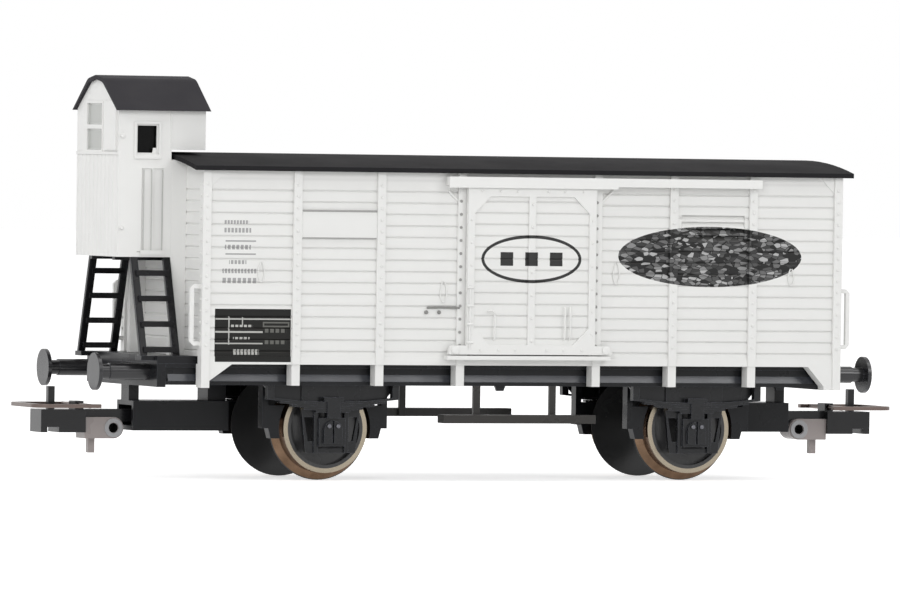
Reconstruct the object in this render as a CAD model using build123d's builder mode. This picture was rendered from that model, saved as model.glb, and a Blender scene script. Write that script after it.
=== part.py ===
from build123d import *
import os
from math import cos, radians, sin, sqrt, tan

# Scale model, 1:87, of a two-axle covered goods wagon with a raised brakeman's cab.
# Millimetres. X runs along the track with the brake end at minus X, Y runs across it,
# and Z is up from the tips of the wheel flanges. X is zero halfway between the buffer faces.

os.makedirs("parts", exist_ok=True)

# Wheelsets
tread_radius = 5.85
flange_depth = 1.0
flange_width = 0.8
wheel_width = 2.8
wheel_gap = 14.4          # between the backs of the two wheels
guard_gap = 1.3           # between a wheel's face and the axle guard
guard_thickness = 0.6
axle_radius = 1.0
axle_cone = 1.75          # pointed part of the axle
axle_past_guard = 0.45    # from the axle guard's face to the point of the axle
axle_height = tread_radius + flange_depth

# Body
body_length = 90.76
axle_setback = 19.52      # from the body's end to the axle
platform_length = 5.37    # open deck between the body and the brake end's headstock
plain_overhang = 1.43     # how far the body reaches past the other end's headstock
side_overhang = 2.0       # how far the side posts stand out past the sole bar
frame_top = 15.35         # underside of the body above the flange tips
wall_height = 25.22       # from the underside of the body to the eaves
wall = 1.1
post_depth = 0.35
post_width = 1.15
corner_post = 1.15
floor_thickness = 1.0
side_posts = (-32.2, -20.5, -9.15, 10.15, 21.05, 32.5)   # from the middle of the body
board_width = 1.5
joint_width = 0.3         # V-shaped joint between two boards
joint_depth = 0.14
lowest_joint = 1.7        # above the underside of the body
top_board = 2.0           # least width of the board under the eaves

# Roof
roof_rise = 1.69
roof_thickness = 0.6
roof_side_overhang = 0.6
roof_end_overhang = 1.3

# Frame
pan_thickness = 1.0
pan_past_guard = 0.8      # how far the pan reaches past the axle guards
sole_bar_height = 2.75
sole_bar_flange = 1.0
sole_bar_web = 0.5
headstock_thickness = 1.2
headstock_height = 3.05
buffer_length = 7.5
buffer_spacing = 20.1
buffer_height = 14.22
buffer_radius = 2.43
corner_leg_height = 3.08

# Door
door_left = -8.65         # from the middle of the body, seen from outside
door_width = 18.2
door_height = 22.05
door_lap = 0.55           # how far the door laps its opening at each side
door_sheet = 0.45
door_frame = 0.25
door_gap = 0.15           # running clearance all round the door
sill_height = 1.3         # door opening above the underside of the body
rail_left = -11.5
rail_length = 44.7        # upper rail
rail_height = 1.15
lip_length = 24.0         # part of the upper rail that hides the closed door's edge
lower_rail_length = 23.2
lower_rail_height = 0.55
slide_clearance = 0.1     # between the door's face and the rail's lip
lip_thickness = 0.25

# Cab
cab_length = 7.35         # lower part, from the stanchions to the cab's end wall
cab_reach = 4.7           # how far the upper part reaches back over the wagon roof
cab_half_width = 8.15
cab_wall = 0.8
cab_raised = 12.75        # underside of the cab above the deck
cab_upper_height = 5.06   # eaves of the cab above the underside of its upper part
cab_lift = 0.28           # between the ridge of the wagon roof and the cab's upper part
cab_roof_rise = 4.6
cab_roof_thickness = 0.5
cab_roof_flat = 3.0       # half width of the ridge, which is slightly crowned
cab_roof_crown = 0.45
cab_roof_round = 2.5      # rounding of the two shoulders
cab_roof_side = 0.85
cab_roof_end = 0.45
stanchion_depth = 2.12    # end wall stanchions, out from the boards
stanchion_width = 1.0

# Couplers
coupler_setback = 1.85    # where the pocket meets the head, behind the buffer faces
coupler_reach = 6.35      # tip of the loop past the buffer faces
housing_gap = 4.24        # from an axle's centre to the back of the coupler housing
pivot_inset = 6.4         # pivot of the drawbar from the back of the housing
swing_angle = 12
swing_clearance = 0.2
pin_clearance = 0.1

# Worked-out sizes
wheelbase = body_length - 2 * axle_setback
guard_in = wheel_gap / 2 + wheel_width + guard_gap
guard_out = guard_in + guard_thickness
axle_tip = guard_out + axle_past_guard
axle_shoulder = axle_tip - axle_cone
pan_half = guard_out + pan_past_guard
sole_bar_out = pan_half + sole_bar_flange
side_out = sole_bar_out + side_overhang
body_half = body_length / 2
body_shift = (platform_length + plain_overhang) / 2     # middle of the body from the wagon's middle
over_buffers = body_length + platform_length - plain_overhang + 2 * buffer_length
buffer_face = over_buffers / 2
board_out = side_out - post_depth
board_in = board_out - wall
eave = frame_top + wall_height
end_boards = body_half - post_depth
end_inside = end_boards - wall
floor_top = frame_top + floor_thickness
headstock_face = buffer_face - buffer_length
headstock_back = headstock_face - headstock_thickness
pan_bottom = frame_top - pan_thickness
sole_bar_bottom = frame_top - sole_bar_height
deck_edge = body_half - body_shift - post_depth
cab_back = deck_edge + stanchion_depth
cab_end = cab_back + cab_length
cab_back_upper = cab_back - cab_reach
cab_bottom = floor_top + cab_raised
upper_bottom = eave + roof_rise + roof_thickness + cab_lift
cab_eave = upper_bottom + cab_upper_height
cab_ridge = cab_eave + cab_roof_rise
roof_half = side_out + roof_side_overhang
roof_radius = (roof_half ** 2 + roof_rise ** 2) / (2 * roof_rise)
ends = (("brake", -1), ("plain", 1))
sides = (("near", -1), ("far", 1))


def roof_under(y):
    """Height of the roof's underside at a distance y from the centreline."""
    return eave + roof_rise - roof_radius + sqrt(roof_radius ** 2 - y ** 2)


def side_plane(side, reach, middle=body_shift):
    """A plane on one side, seen from outside: x to the right, y up, normal outwards."""
    return Plane(origin=(middle, side * reach, 0), x_dir=(-side, 0, 0), z_dir=(0, side, 0))


def end_plane(end, reach):
    """A plane across one end, seen from outside, at a distance from the wagon's middle."""
    return Plane(origin=(end * reach, 0, 0), x_dir=(0, end, 0), z_dir=(end, 0, 0))


def lengthwise(end):
    """The upright plane through the centreline, with x running out towards one end."""
    return Plane(origin=(0, 0, 0), x_dir=(end, 0, 0), z_dir=(0, -end, 0))


def plan(end, height):
    """A level plane with x running out towards one end."""
    return Plane(origin=(0, 0, height), x_dir=(end, 0, 0), z_dir=(0, 0, 1))


def block(left, right, low, high, mode=Mode.ADD):
    """A rectangle in the current sketch between two corners."""
    with Locations(((left + right) / 2, (low + high) / 2)):
        Rectangle(right - left, high - low, mode=mode)


def board_joints(first, highest):
    """Heights of the joints between the boards, one board's width apart."""
    return [first + number * board_width for number in range(int((highest - first) / board_width) + 1)]


def joint_cuts(reach, heights, outwards):
    """V-shaped cuts in the current sketch, in a face whose outside lies at plus or minus x."""
    with Locations([(reach, height) for height in heights]):
        Polygon((0, joint_width / 2), (0, -joint_width / 2), (-outwards * joint_depth, 0), align=None)


def save(piece, label):
    piece.part.label = label
    export_step(piece.part, f"parts/{label}.step")


# Chassis pan between the sole bars and headstocks
with BuildPart() as pan:
    with BuildSketch(Plane.XY.offset(pan_bottom)):
        Rectangle(2 * headstock_back, 2 * pan_half)
    extrude(amount=pan_thickness)
save(pan, "chassis_pan")

# Channel-section sole bars, open side outwards
for side_name, side in sides:
    with BuildPart() as sole_bar:
        with BuildSketch(Plane.YZ.offset(-headstock_back)):
            with Locations((side * (pan_half + sole_bar_flange / 2), frame_top - sole_bar_height / 2)):
                Rectangle(sole_bar_flange, sole_bar_height)
            with Locations((side * (pan_half + sole_bar_web + sole_bar_flange / 2),
                            frame_top - sole_bar_height / 2)):
                Rectangle(sole_bar_flange, sole_bar_height - 2 * sole_bar_web, mode=Mode.SUBTRACT)
        extrude(amount=2 * headstock_back)
    save(sole_bar, f"sole_bar_{side_name}")

# Headstocks
for end_name, end in ends:
    with BuildPart() as headstock:
        with BuildSketch(end_plane(end, headstock_back)):
            block(-sole_bar_out, sole_bar_out, frame_top - headstock_height, frame_top)
        extrude(amount=headstock_thickness)
    save(headstock, f"headstock_{end_name}")

# Buffers: sleeve, plunger and flat head
buffer_sleeve_radius = 1.1
buffer_sleeve_length = 5.4
plunger_radius = 0.95
buffer_head_thickness = 0.5
for end_name, end in ends:
    for side_name, side in sides:
        foot = Plane(origin=(end * headstock_face, side * buffer_spacing / 2, buffer_height),
                     x_dir=(end, 0, 0), z_dir=(0, -end, 0))
        head_back = buffer_length - buffer_head_thickness
        with BuildPart() as buffer:
            with BuildSketch(foot):
                block(0, buffer_sleeve_length, 0, buffer_sleeve_radius)
                block(0, head_back, 0, plunger_radius)
                block(head_back, buffer_length, 0, buffer_radius)
            revolve(axis=Axis(foot.origin, foot.x_dir))
        save(buffer, f"buffer_{end_name}_{side_name}")

# Axle guards: a W-shaped plate with guides, axlebox with cover, cambered leaf spring and shackles
guard_top_half = 4.1
guard_foot_half = 3.5
guard_bottom = 3.7
guard_slot_top = 9.0
guide_width = 0.55
guide_relief = 0.3
guide_top = 9.6
tie_bar_height = 0.6
window_margin = 0.35      # between the guide, the window and the plate's slanted edge
window_low = 5.2
window_high = 8.4
box_half = 1.85
box_bottom = 4.6
box_top = 8.3
box_behind_guard = 0.3
box_past_guard = 0.7
box_in = guard_in - box_behind_guard
box_out = guard_out + box_past_guard
cover_half = 1.3
cover_margin = 0.35       # cover above the foot of the box
cover_relief = 0.45
cover_groove = 0.24
spring_half = 9.2
spring_camber = 0.6
spring_width = 1.0
leaf_thickness = 0.28
leaf_step = 1.7           # each leaf is this much shorter at each end than the one above
leaves = 5
leaf_runs = 2             # straight runs of a leaf on each side of its middle
buckle_half = 0.9
buckle_relief = 0.25
buckle_plate_half = 1.35
shackle_width = 0.9
shackle_height = 1.6
spring_top = sole_bar_bottom - shackle_height
spring_middle = spring_top - spring_camber
bearing_clearance = 0.12
bearing_tip = axle_tip + bearing_clearance * (axle_tip - axle_shoulder) / axle_radius


def leaf_line(half, drop):
    """The line of one side of a cambered spring leaf, from end to end."""
    places = [half * run / leaf_runs for run in range(-leaf_runs, leaf_runs + 1)]
    return [(place, spring_middle - drop + spring_camber * (place / spring_half) ** 2) for place in places]


for end_name, end in ends:
    axle_x = body_shift + end * wheelbase / 2
    for side_name, side in sides:
        with BuildPart() as guard:
            with BuildSketch(side_plane(side, guard_in, axle_x)):
                Polygon((-guard_top_half, pan_bottom), (guard_top_half, pan_bottom),
                        (guard_top_half, guide_top), (guard_foot_half, guard_bottom),
                        (-guard_foot_half, guard_bottom), (-guard_top_half, guide_top), align=None)
                block(-box_half, box_half, guard_bottom + tie_bar_height, guard_slot_top, Mode.SUBTRACT)
                for face in (-1, 1):
                    near = face * (box_half + guide_width)
                    foot = face * (guard_foot_half - window_margin)
                    top = face * (guard_top_half - window_margin)
                    Polygon((near, window_low), (foot, window_low), (top, window_high),
                            (near, window_high), align=None, mode=Mode.SUBTRACT)
            extrude(amount=guard_thickness)
            with BuildSketch(side_plane(side, guard_in, axle_x)):
                for face in (-1, 1):
                    with Locations((face * (box_half + guide_width / 2), (guard_bottom + guide_top) / 2)):
                        Rectangle(guide_width, guide_top - guard_bottom)
            extrude(amount=guard_thickness + guide_relief)
            with BuildSketch(side_plane(side, box_in, axle_x)):
                block(-box_half, box_half, box_bottom, box_top)
            extrude(amount=box_out - box_in)
            with BuildSketch(side_plane(side, box_out, axle_x)):
                cover_top = box_top - cover_half - cover_margin
                block(-cover_half, cover_half, box_bottom + cover_margin, cover_top)
                with Locations((0, cover_top)):
                    Circle(cover_half)
                block(-cover_groove / 2, cover_groove / 2, box_bottom, box_top, Mode.SUBTRACT)
            extrude(amount=cover_relief)
            for number in range(leaves):
                half = spring_half - number * leaf_step
                upper = leaf_line(half, number * leaf_thickness)
                lower = leaf_line(half, (number + 1) * leaf_thickness)
                with BuildSketch(side_plane(side, guard_out, axle_x)):
                    Polygon(*upper, *reversed(lower), align=None)
                extrude(amount=spring_width)
            with BuildSketch(side_plane(side, guard_out, axle_x)):
                block(-buckle_half, buckle_half, box_top, spring_middle)
                block(-buckle_plate_half, buckle_plate_half, spring_middle, spring_top)
            extrude(amount=spring_width + buckle_relief)
            with BuildSketch(side_plane(side, guard_out, axle_x)):
                for place in (-1, 1):
                    with Locations((place * (spring_half - shackle_width / 2),
                                    (sole_bar_bottom + spring_top - leaf_thickness) / 2)):
                        Rectangle(shackle_width, shackle_height + leaf_thickness)
            extrude(amount=spring_width)
            bearing = Plane(origin=(axle_x, side * axle_shoulder, axle_height),
                            x_dir=(0, side, 0), z_dir=(1, 0, 0))
            with BuildSketch(bearing):
                Polygon((0, 0), (0, axle_radius + bearing_clearance), (bearing_tip - axle_shoulder, 0),
                        align=None)
            revolve(axis=Axis(bearing.origin, bearing.x_dir), mode=Mode.SUBTRACT)
        save(guard, f"axle_guard_{end_name}_{side_name}")

# Wheelsets: pointed axle, and two disc wheels pressed on it
disc_thickness = 1.9
rim_radius = 4.8
for end_name, end in ends:
    axle_x = body_shift + end * wheelbase / 2
    across = Plane(origin=(axle_x, 0, axle_height), x_dir=(0, 1, 0), z_dir=(1, 0, 0))
    with BuildPart() as axle:
        with BuildSketch(across):
            Polygon((-axle_tip, 0), (-axle_shoulder, axle_radius), (axle_shoulder, axle_radius),
                    (axle_tip, 0), align=None)
        revolve(axis=Axis(across.origin, across.x_dir))
    save(axle, f"axle_{end_name}")
    with BuildPart() as wheels:
        for side_name, side in sides:
            back = Plane(origin=(axle_x, side * wheel_gap / 2, axle_height),
                         x_dir=(0, side, 0), z_dir=(1, 0, 0))
            with BuildSketch(back):
                Polygon((0, axle_radius), (disc_thickness, axle_radius), (disc_thickness, rim_radius),
                        (wheel_width, rim_radius), (wheel_width, tread_radius),
                        (flange_width, tread_radius), (0, axle_height), align=None)
            revolve(axis=Axis(back.origin, back.x_dir))
    save(wheels, f"wheels_{end_name}")

# Brake blocks with their hangers, one pair to each wheel
block_in = 8.2
block_width = 1.6
block_gap = 0.55
block_low_angle = -12     # ends of the block, above and below the axle
block_high_angle = 28
block_foot = 1.3          # thickness at the foot and at the head
block_head = 3.1
hanger_width = 0.8
for end_name, end in ends:
    axle_x = body_shift + end * wheelbase / 2
    with BuildPart() as blocks:
        inner = tread_radius + block_gap
        low = radians(block_low_angle)
        high = radians(block_high_angle)
        head = inner * cos(high) + block_head
        for side_name, side in sides:
            with BuildSketch(side_plane(side, block_in, axle_x)):
                for face in (-1, 1):
                    with BuildLine():
                        top_in = (face * inner * cos(high), axle_height + inner * sin(high))
                        low_in = (face * inner * cos(low), axle_height + inner * sin(low))
                        low_out = (face * (inner * cos(low) + block_foot), low_in[1])
                        top_out = (face * head, top_in[1])
                        ThreePointArc(top_in, (face * inner, axle_height), low_in)
                        Line(low_in, low_out)
                        Line(low_out, top_out)
                        Line(top_out, top_in)
                    make_face()
                    with Locations((face * (head - hanger_width / 2), (axle_height + pan_bottom) / 2)):
                        Rectangle(hanger_width, pan_bottom - axle_height)
            extrude(amount=block_width)
    save(blocks, f"brake_blocks_{end_name}")

# Step boards on their hangers
step_left = -11.5
step_length = 21.5
step_in = sole_bar_out
step_width = 2.4
step_top = 8.85
step_thickness = 1.1
step_hangers = (-6.0, 4.8)
hanger_strap = 0.9
for side_name, side in sides:
    with BuildPart() as step:
        with BuildSketch(side_plane(side, step_in)):
            with Locations((-side * (step_left + step_length / 2), step_top - step_thickness / 2)):
                Rectangle(step_length, step_thickness)
        extrude(amount=step_width)
        with BuildSketch(side_plane(side, step_in)):
            for place in step_hangers:
                with Locations((-side * place, (step_top - step_thickness + sole_bar_bottom) / 2)):
                    Rectangle(hanger_strap, sole_bar_bottom - step_top + step_thickness)
        extrude(amount=-sole_bar_web)
    save(step, f"step_board_{side_name}")

# Body floor
with BuildPart() as floor:
    with BuildSketch(Plane.XY.offset(frame_top)):
        with Locations((body_shift, 0)):
            Rectangle(2 * end_inside, 2 * board_in)
    extrude(amount=floor_thickness)
save(floor, "body_floor")

# Side walls: boards with V-shaped joints, door opening, vent flap and louvre
opening_bottom = frame_top + sill_height
opening_top = opening_bottom + door_height - door_lap
opening_left = door_left + door_lap
opening_right = door_left + door_width - door_lap
side_length = body_length - 2 * corner_post
wall_joints = board_joints(frame_top + lowest_joint, eave - top_board)
vent_low = 31.9
vent_high = 35.4
flap_relief = 0.2
louvre_depth = 0.5
louvre_slats = 4
louvre_margin = 0.6       # between the post and the louvre
for side_name, side in sides:
    with BuildPart() as side_wall:
        with BuildSketch(Plane.YZ.offset(body_shift - side_length / 2)):
            Polygon((side * board_in, frame_top), (side * board_out, frame_top),
                    (side * board_out, roof_under(board_out)),
                    (side * board_in, roof_under(board_in)), align=None)
            with BuildSketch(mode=Mode.SUBTRACT):
                joint_cuts(side * board_out, wall_joints, side)
        extrude(amount=side_length)
        with BuildSketch(side_plane(side, board_in)):
            block(opening_left, opening_right, opening_bottom, opening_top)
        extrude(amount=wall, mode=Mode.SUBTRACT)
        with BuildSketch(side_plane(side, board_in)):
            block(side_posts[0] + post_width / 2, side_posts[1] - post_width / 2, vent_low, vent_high)
        extrude(amount=wall + flap_relief)
        left = side_posts[4] + post_width / 2 + louvre_margin
        right = side_posts[5] - post_width / 2 - louvre_margin
        with BuildSketch(side_plane(side, board_out)):
            block(left, right, vent_low, vent_high)
        extrude(amount=-louvre_depth, mode=Mode.SUBTRACT)
        slat_pitch = (vent_high - vent_low) / louvre_slats
        with BuildSketch(Plane.YZ.offset(body_shift - side * (left + right) / 2)):
            for number in range(louvre_slats):
                foot = vent_low + number * slat_pitch
                Polygon((side * (board_out - louvre_depth), foot), (side * board_out, foot),
                        (side * (board_out - louvre_depth), foot + slat_pitch), align=None)
        extrude(amount=(right - left) / 2, both=True)
    save(side_wall, f"side_wall_{side_name}")

# Side frames: posts, sill rail, brackets down to the sole bar, and gussets at the corners
sill_rail_height = 1.05
sill_rail_relief = 0.18
upper_gusset = 2.1
plate_rows = (
    # end, foot beside the corner post, run under the body, drop of the slanted edge
    (-1, 0.0, 3.15, 2.2),
    (1, 1.2, 3.5, 2.6),
)
for side_name, side in sides:
    with BuildPart() as side_frame:
        with BuildSketch(side_plane(side, board_out)):
            for place in side_posts:
                block(place - post_width / 2, place + post_width / 2, frame_top, roof_under(side_out))
        extrude(amount=post_depth)
        with BuildSketch(side_plane(side, board_out)):
            block(-side_length / 2, side_length / 2, frame_top, frame_top + sill_rail_height)
            for face in (-1, 1):
                corner = face * side_length / 2
                Polygon((corner, eave), (corner, eave - upper_gusset),
                        (corner - face * upper_gusset, eave), align=None)
        extrude(amount=sill_rail_relief)
        with BuildSketch(side_plane(side, sole_bar_out)):
            for place in side_posts:
                block(place - post_width / 2, place + post_width / 2, sole_bar_bottom, frame_top)
            for end, foot, run, drop in plate_rows:
                inwards = side * end
                corner = -inwards * side_length / 2
                Polygon((corner, frame_top), (corner, frame_top - corner_leg_height),
                        (corner + inwards * foot, frame_top - corner_leg_height),
                        (corner + inwards * foot, frame_top - drop),
                        (corner + inwards * run, frame_top), align=None)
        extrude(amount=board_out + sill_rail_relief - sole_bar_out)
    save(side_frame, f"side_frame_{side_name}")

# End walls: boards with V-shaped joints and an arched top
for end_name, end in ends:
    middle = end * body_shift
    with BuildPart() as end_wall:
        with BuildSketch(end_plane(end, middle + end_inside)):
            with BuildLine():
                Line((-board_in, roof_under(board_in)), (-board_in, frame_top))
                Line((-board_in, frame_top), (board_in, frame_top))
                Line((board_in, frame_top), (board_in, roof_under(board_in)))
                ThreePointArc((board_in, roof_under(board_in)), (0, roof_under(0)),
                              (-board_in, roof_under(board_in)))
            make_face()
        extrude(amount=wall)
        with BuildSketch(lengthwise(end)):
            joint_cuts(middle + end_boards, wall_joints, 1)
        extrude(amount=board_in, both=True, mode=Mode.SUBTRACT)
    save(end_wall, f"end_wall_{end_name}")

# End frames: corner posts with legs, and two stanchions
stanchion_out = 8.2
for end_name, end in ends:
    middle = end * body_shift
    with BuildPart() as end_frame:
        with BuildSketch(end_plane(end, middle + body_half - corner_post)):
            for face in (-1, 1):
                with Locations((face * (board_in + side_out) / 2, (frame_top + roof_under(side_out)) / 2)):
                    Rectangle(side_out - board_in, roof_under(side_out) - frame_top)
                with Locations((face * (sole_bar_out + side_out) / 2, frame_top - corner_leg_height / 2)):
                    Rectangle(side_out - sole_bar_out, corner_leg_height)
        extrude(amount=corner_post)
        foot = floor_top if end < 0 else frame_top
        top = roof_under(stanchion_out)
        with BuildSketch(end_plane(end, middle + end_boards)):
            for face in (-1, 1):
                with Locations((face * (stanchion_out - stanchion_width / 2), (foot + top) / 2)):
                    Rectangle(stanchion_width, top - foot)
        extrude(amount=stanchion_depth)
    save(end_frame, f"end_frame_{end_name}")

# Main roof, a thin arch
with BuildPart() as roof:
    roof_length = body_length + 2 * roof_end_overhang
    with BuildSketch(Plane.YZ.offset(body_shift - roof_length / 2)):
        with BuildLine():
            ThreePointArc((-roof_half, eave), (0, eave + roof_rise), (roof_half, eave))
            Line((roof_half, eave), (roof_half, eave + roof_thickness))
            ThreePointArc((roof_half, eave + roof_thickness), (0, eave + roof_rise + roof_thickness),
                          (-roof_half, eave + roof_thickness))
            Line((-roof_half, eave + roof_thickness), (-roof_half, eave))
        make_face()
    extrude(amount=roof_length)
save(roof, "roof")

# Grab handles at the corners
handle_bar = 0.55
handle_reach = 1.45
handle_low = 2.4          # above the underside of the body
handle_length = 8.0
handle_bend = 0.5
handle_place = side_out - corner_post + handle_bar / 2
for end_name, end in ends:
    face = end * body_shift + body_half
    foot = frame_top + handle_low
    with BuildPart() as handles:
        for side_name, side in sides:
            upright = Plane(origin=(0, side * handle_place, 0), x_dir=(end, 0, 0), z_dir=(0, -end, 0))
            with BuildSketch(upright):
                block(face, face + handle_reach, foot, foot + handle_length)
                chamfer(vertices().group_by(Axis.X)[-1], handle_bend)
                block(face, face + handle_reach - handle_bar, foot + handle_bar,
                      foot + handle_length - handle_bar, Mode.SUBTRACT)
            extrude(amount=handle_bar / 2, both=True)
    save(handles, f"grab_handles_{end_name}")

# Door rails: a long upper one whose lip hides the closed door's edge, and a short lower one
door_in = side_out + door_gap
door_out = door_in + door_sheet + door_frame
door_bottom = frame_top + sill_height + door_gap
door_top = door_bottom + door_height
lip_in = door_out + slide_clearance
rail_out = lip_in + lip_thickness
for side_name, side in sides:
    with BuildPart() as door_rails:
        with BuildSketch(side_plane(side, side_out)):
            block(rail_left, rail_left + rail_length, door_top + door_gap, door_top + door_gap + rail_height)
            block(rail_left, rail_left + lower_rail_length, door_bottom - door_gap - lower_rail_height,
                  door_bottom - door_gap)
        extrude(amount=rail_out - side_out)
        with BuildSketch(side_plane(side, lip_in)):
            block(rail_left, rail_left + lip_length, door_top - door_gap, door_top + door_gap)
        extrude(amount=lip_thickness)
    save(door_rails, f"door_rails_{side_name}")

# Sliding doors: boards held in a frame with gusseted corners, and roller casings at the foot
stile = 0.97
top_rail = 1.25
bottom_rail = 1.3
panel_corner = 2.2
roller_reach = 2.45
roller_height = 1.2
roller_round = 0.7
lowest_door_joint = 0.8   # above the bottom rail
door_middle = door_left + door_width / 2
for side_name, side in sides:
    low = door_bottom + bottom_rail
    high = door_top - top_rail
    with BuildPart() as door:
        with BuildSketch(Plane.YZ.offset(body_shift - side * door_middle)):
            Polygon((side * door_in, door_bottom), (side * (door_in + door_sheet), door_bottom),
                    (side * (door_in + door_sheet), door_top), (side * door_in, door_top), align=None)
            with BuildSketch(mode=Mode.SUBTRACT):
                joint_cuts(side * (door_in + door_sheet), board_joints(low + lowest_door_joint, high), side)
        extrude(amount=door_width / 2, both=True)
        with BuildSketch(side_plane(side, door_in)):
            with Locations((door_middle, door_bottom + roller_height / 2)):
                casings = Rectangle(door_width + 2 * roller_reach, roller_height)
            fillet(casings.vertices().group_by(Axis.Y)[-1], roller_round)
            block(door_left, door_left + door_width, door_bottom, door_top)
            for face in (-1, 1):
                inner = door_middle + face * stile / 2
                outer = door_middle + face * (door_width / 2 - stile)
                Polygon((inner, low), (outer - face * panel_corner, low), (outer, low + panel_corner),
                        (outer, high - panel_corner), (outer - face * panel_corner, high),
                        (inner, high), align=None, mode=Mode.SUBTRACT)
        extrude(amount=door_sheet + door_frame)
    save(door, f"door_{side_name}")

# Deck of the brake end, with tongues for the ladder feet
tongue_width = 2.4
tongue_margin = 0.2
ladder_foot = 11.8
stile_width = 0.7
ladder_stiles = (2.35, 6.85)     # behind the cab's end wall
tongue_reach = cab_end - ladder_stiles[0] + stile_width / 2 + tongue_margin - headstock_face
tongue_thickness = 0.6
with BuildPart() as deck:
    with BuildSketch(Plane.XY.offset(frame_top)):
        block(-headstock_face, -deck_edge, -sole_bar_out, sole_bar_out)
    extrude(amount=floor_thickness)
    with BuildSketch(Plane.XY.offset(floor_top)):
        for face in (-1, 1):
            with Locations((-headstock_face - tongue_reach / 2, face * ladder_foot)):
                Rectangle(tongue_reach, tongue_width)
    extrude(amount=-tongue_thickness)
save(deck, "brake_deck")

# Cab walls: a boot-shaped shell whose upper part reaches over the wagon roof
side_window = (2.45, 5.54, -5.7, -1.75)     # from, to behind the end wall; low, high from the cab's eaves
end_window = (-1.9, 3.9, -5.2, 0.9)         # Y from, to; low, high from the cab's eaves
end_window_bar = (-2.45, -1.9)              # low, high from the cab's eaves
window_surround = 0.3
window_sill = 0.6
surround_relief = 0.2
door_panel = (3.15, 6.4)                    # sunk panel of the moulded door, behind the end wall
panel_bottom = 0.9                          # above the underside of the cab
panel_height = 10.65
panel_depth = 0.2
panel_boards = 2
wall_board_pairs = int((cab_half_width - joint_width) / board_width)
belt_height = 0.35
belt_relief = 0.15
shutter = (-7.6, -2.9)                      # Y from, to
shutter_relief = 0.25


def cab_arch(half, flat, ridge, rounding):
    """The roof's outline in the current sketch, down to the cab's eaves."""
    shoulder = ridge - cab_roof_crown
    Polygon((-half, cab_eave), (half, cab_eave), (flat, shoulder), (0, ridge), (-flat, shoulder), align=None)
    fillet(vertices().group_by(Axis.Y)[-2], rounding)


roof_side_half = cab_half_width + cab_roof_side
under_half = roof_side_half - cab_roof_thickness
under_flat = cab_roof_flat - cab_roof_thickness / 2
under_ridge = cab_ridge - cab_roof_thickness
under_round = cab_roof_round - cab_roof_thickness
with BuildPart() as cab:
    with BuildSketch(Plane.XZ):
        Polygon((-cab_end, cab_bottom), (-cab_back, cab_bottom), (-cab_back, upper_bottom),
                (-cab_back_upper, upper_bottom), (-cab_back_upper, under_ridge),
                (-cab_end, under_ridge), align=None)
    extrude(amount=cab_half_width, both=True)
    with BuildSketch(Plane.XZ):
        Polygon((-cab_end + cab_wall, cab_bottom), (-cab_back - cab_wall, cab_bottom),
                (-cab_back - cab_wall, upper_bottom + cab_wall),
                (-cab_back_upper - cab_wall, upper_bottom + cab_wall),
                (-cab_back_upper - cab_wall, under_ridge), (-cab_end + cab_wall, under_ridge),
                align=None)
    extrude(amount=cab_half_width - cab_wall, both=True, mode=Mode.SUBTRACT)
    left, right, low, high = side_window
    with BuildSketch(Plane.XZ):
        block(left - window_surround - cab_end, right + window_surround - cab_end,
              cab_eave + low - window_sill, cab_eave + high + window_surround)
        block(door_panel[0] - cab_end, door_panel[1] - cab_end,
              cab_bottom + panel_bottom - window_sill, cab_bottom + panel_bottom)
    extrude(amount=cab_half_width + surround_relief, both=True)
    with BuildSketch(Plane.XZ):
        block(-cab_end + cab_wall, -cab_back - cab_wall, cab_bottom, cab_eave)
    extrude(amount=cab_half_width - cab_wall, both=True, mode=Mode.SUBTRACT)
    with BuildSketch(Plane.XZ):
        block(left - cab_end, right - cab_end, cab_eave + low, cab_eave + high)
    extrude(amount=cab_half_width + surround_relief, both=True, mode=Mode.SUBTRACT)
    for face in (-1, 1):
        with BuildSketch(side_plane(face, cab_half_width, 0)):
            for number in range(panel_boards):
                board = (door_panel[1] - door_panel[0]) / panel_boards
                start = cab_end - door_panel[0] - number * board
                middle = face * (start - board / 2)
                block(middle - board / 2 + joint_width / 2, middle + board / 2 - joint_width / 2,
                      cab_bottom + panel_bottom, cab_bottom + panel_bottom + panel_height)
        extrude(amount=-panel_depth, mode=Mode.SUBTRACT)
    left, right, low, high = end_window
    bar_low, bar_high = end_window_bar
    with BuildSketch(Plane.YZ.offset(-cab_end)):
        block(left - window_surround, right + window_surround, cab_eave + low - window_sill,
              cab_eave + high + window_surround)
        block(-cab_half_width, cab_half_width, cab_eave + low - window_sill,
              cab_eave + low - window_sill + belt_height)
    extrude(amount=-belt_relief)
    with BuildSketch(Plane.YZ.offset(-cab_end)):
        block(shutter[0], shutter[1], cab_eave + low, cab_eave + high + window_surround)
    extrude(amount=-shutter_relief)
    with BuildSketch(Plane.YZ.offset(-cab_end - belt_relief)):
        block(left, right, cab_eave + low, cab_eave + bar_low)
        block(left, right, cab_eave + bar_high, cab_eave + high)
    extrude(amount=cab_wall + belt_relief, mode=Mode.SUBTRACT)
    with BuildSketch(Plane.XY.offset(cab_bottom)):
        with Locations([(-cab_end, number * board_width)
                        for number in range(-wall_board_pairs, wall_board_pairs + 1)]):
            Polygon((0, joint_width / 2), (0, -joint_width / 2), (joint_depth, 0), align=None)
    extrude(amount=cab_eave + low - window_sill - cab_bottom, mode=Mode.SUBTRACT)
    with BuildSketch(Plane.YZ.offset(-cab_end - cab_roof_end)):
        cab_arch(under_half, under_flat, under_ridge, under_round)
        block(-under_half, under_half, cab_bottom, cab_eave)
    extrude(amount=cab_end, mode=Mode.INTERSECT)
save(cab, "cab_walls")

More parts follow.
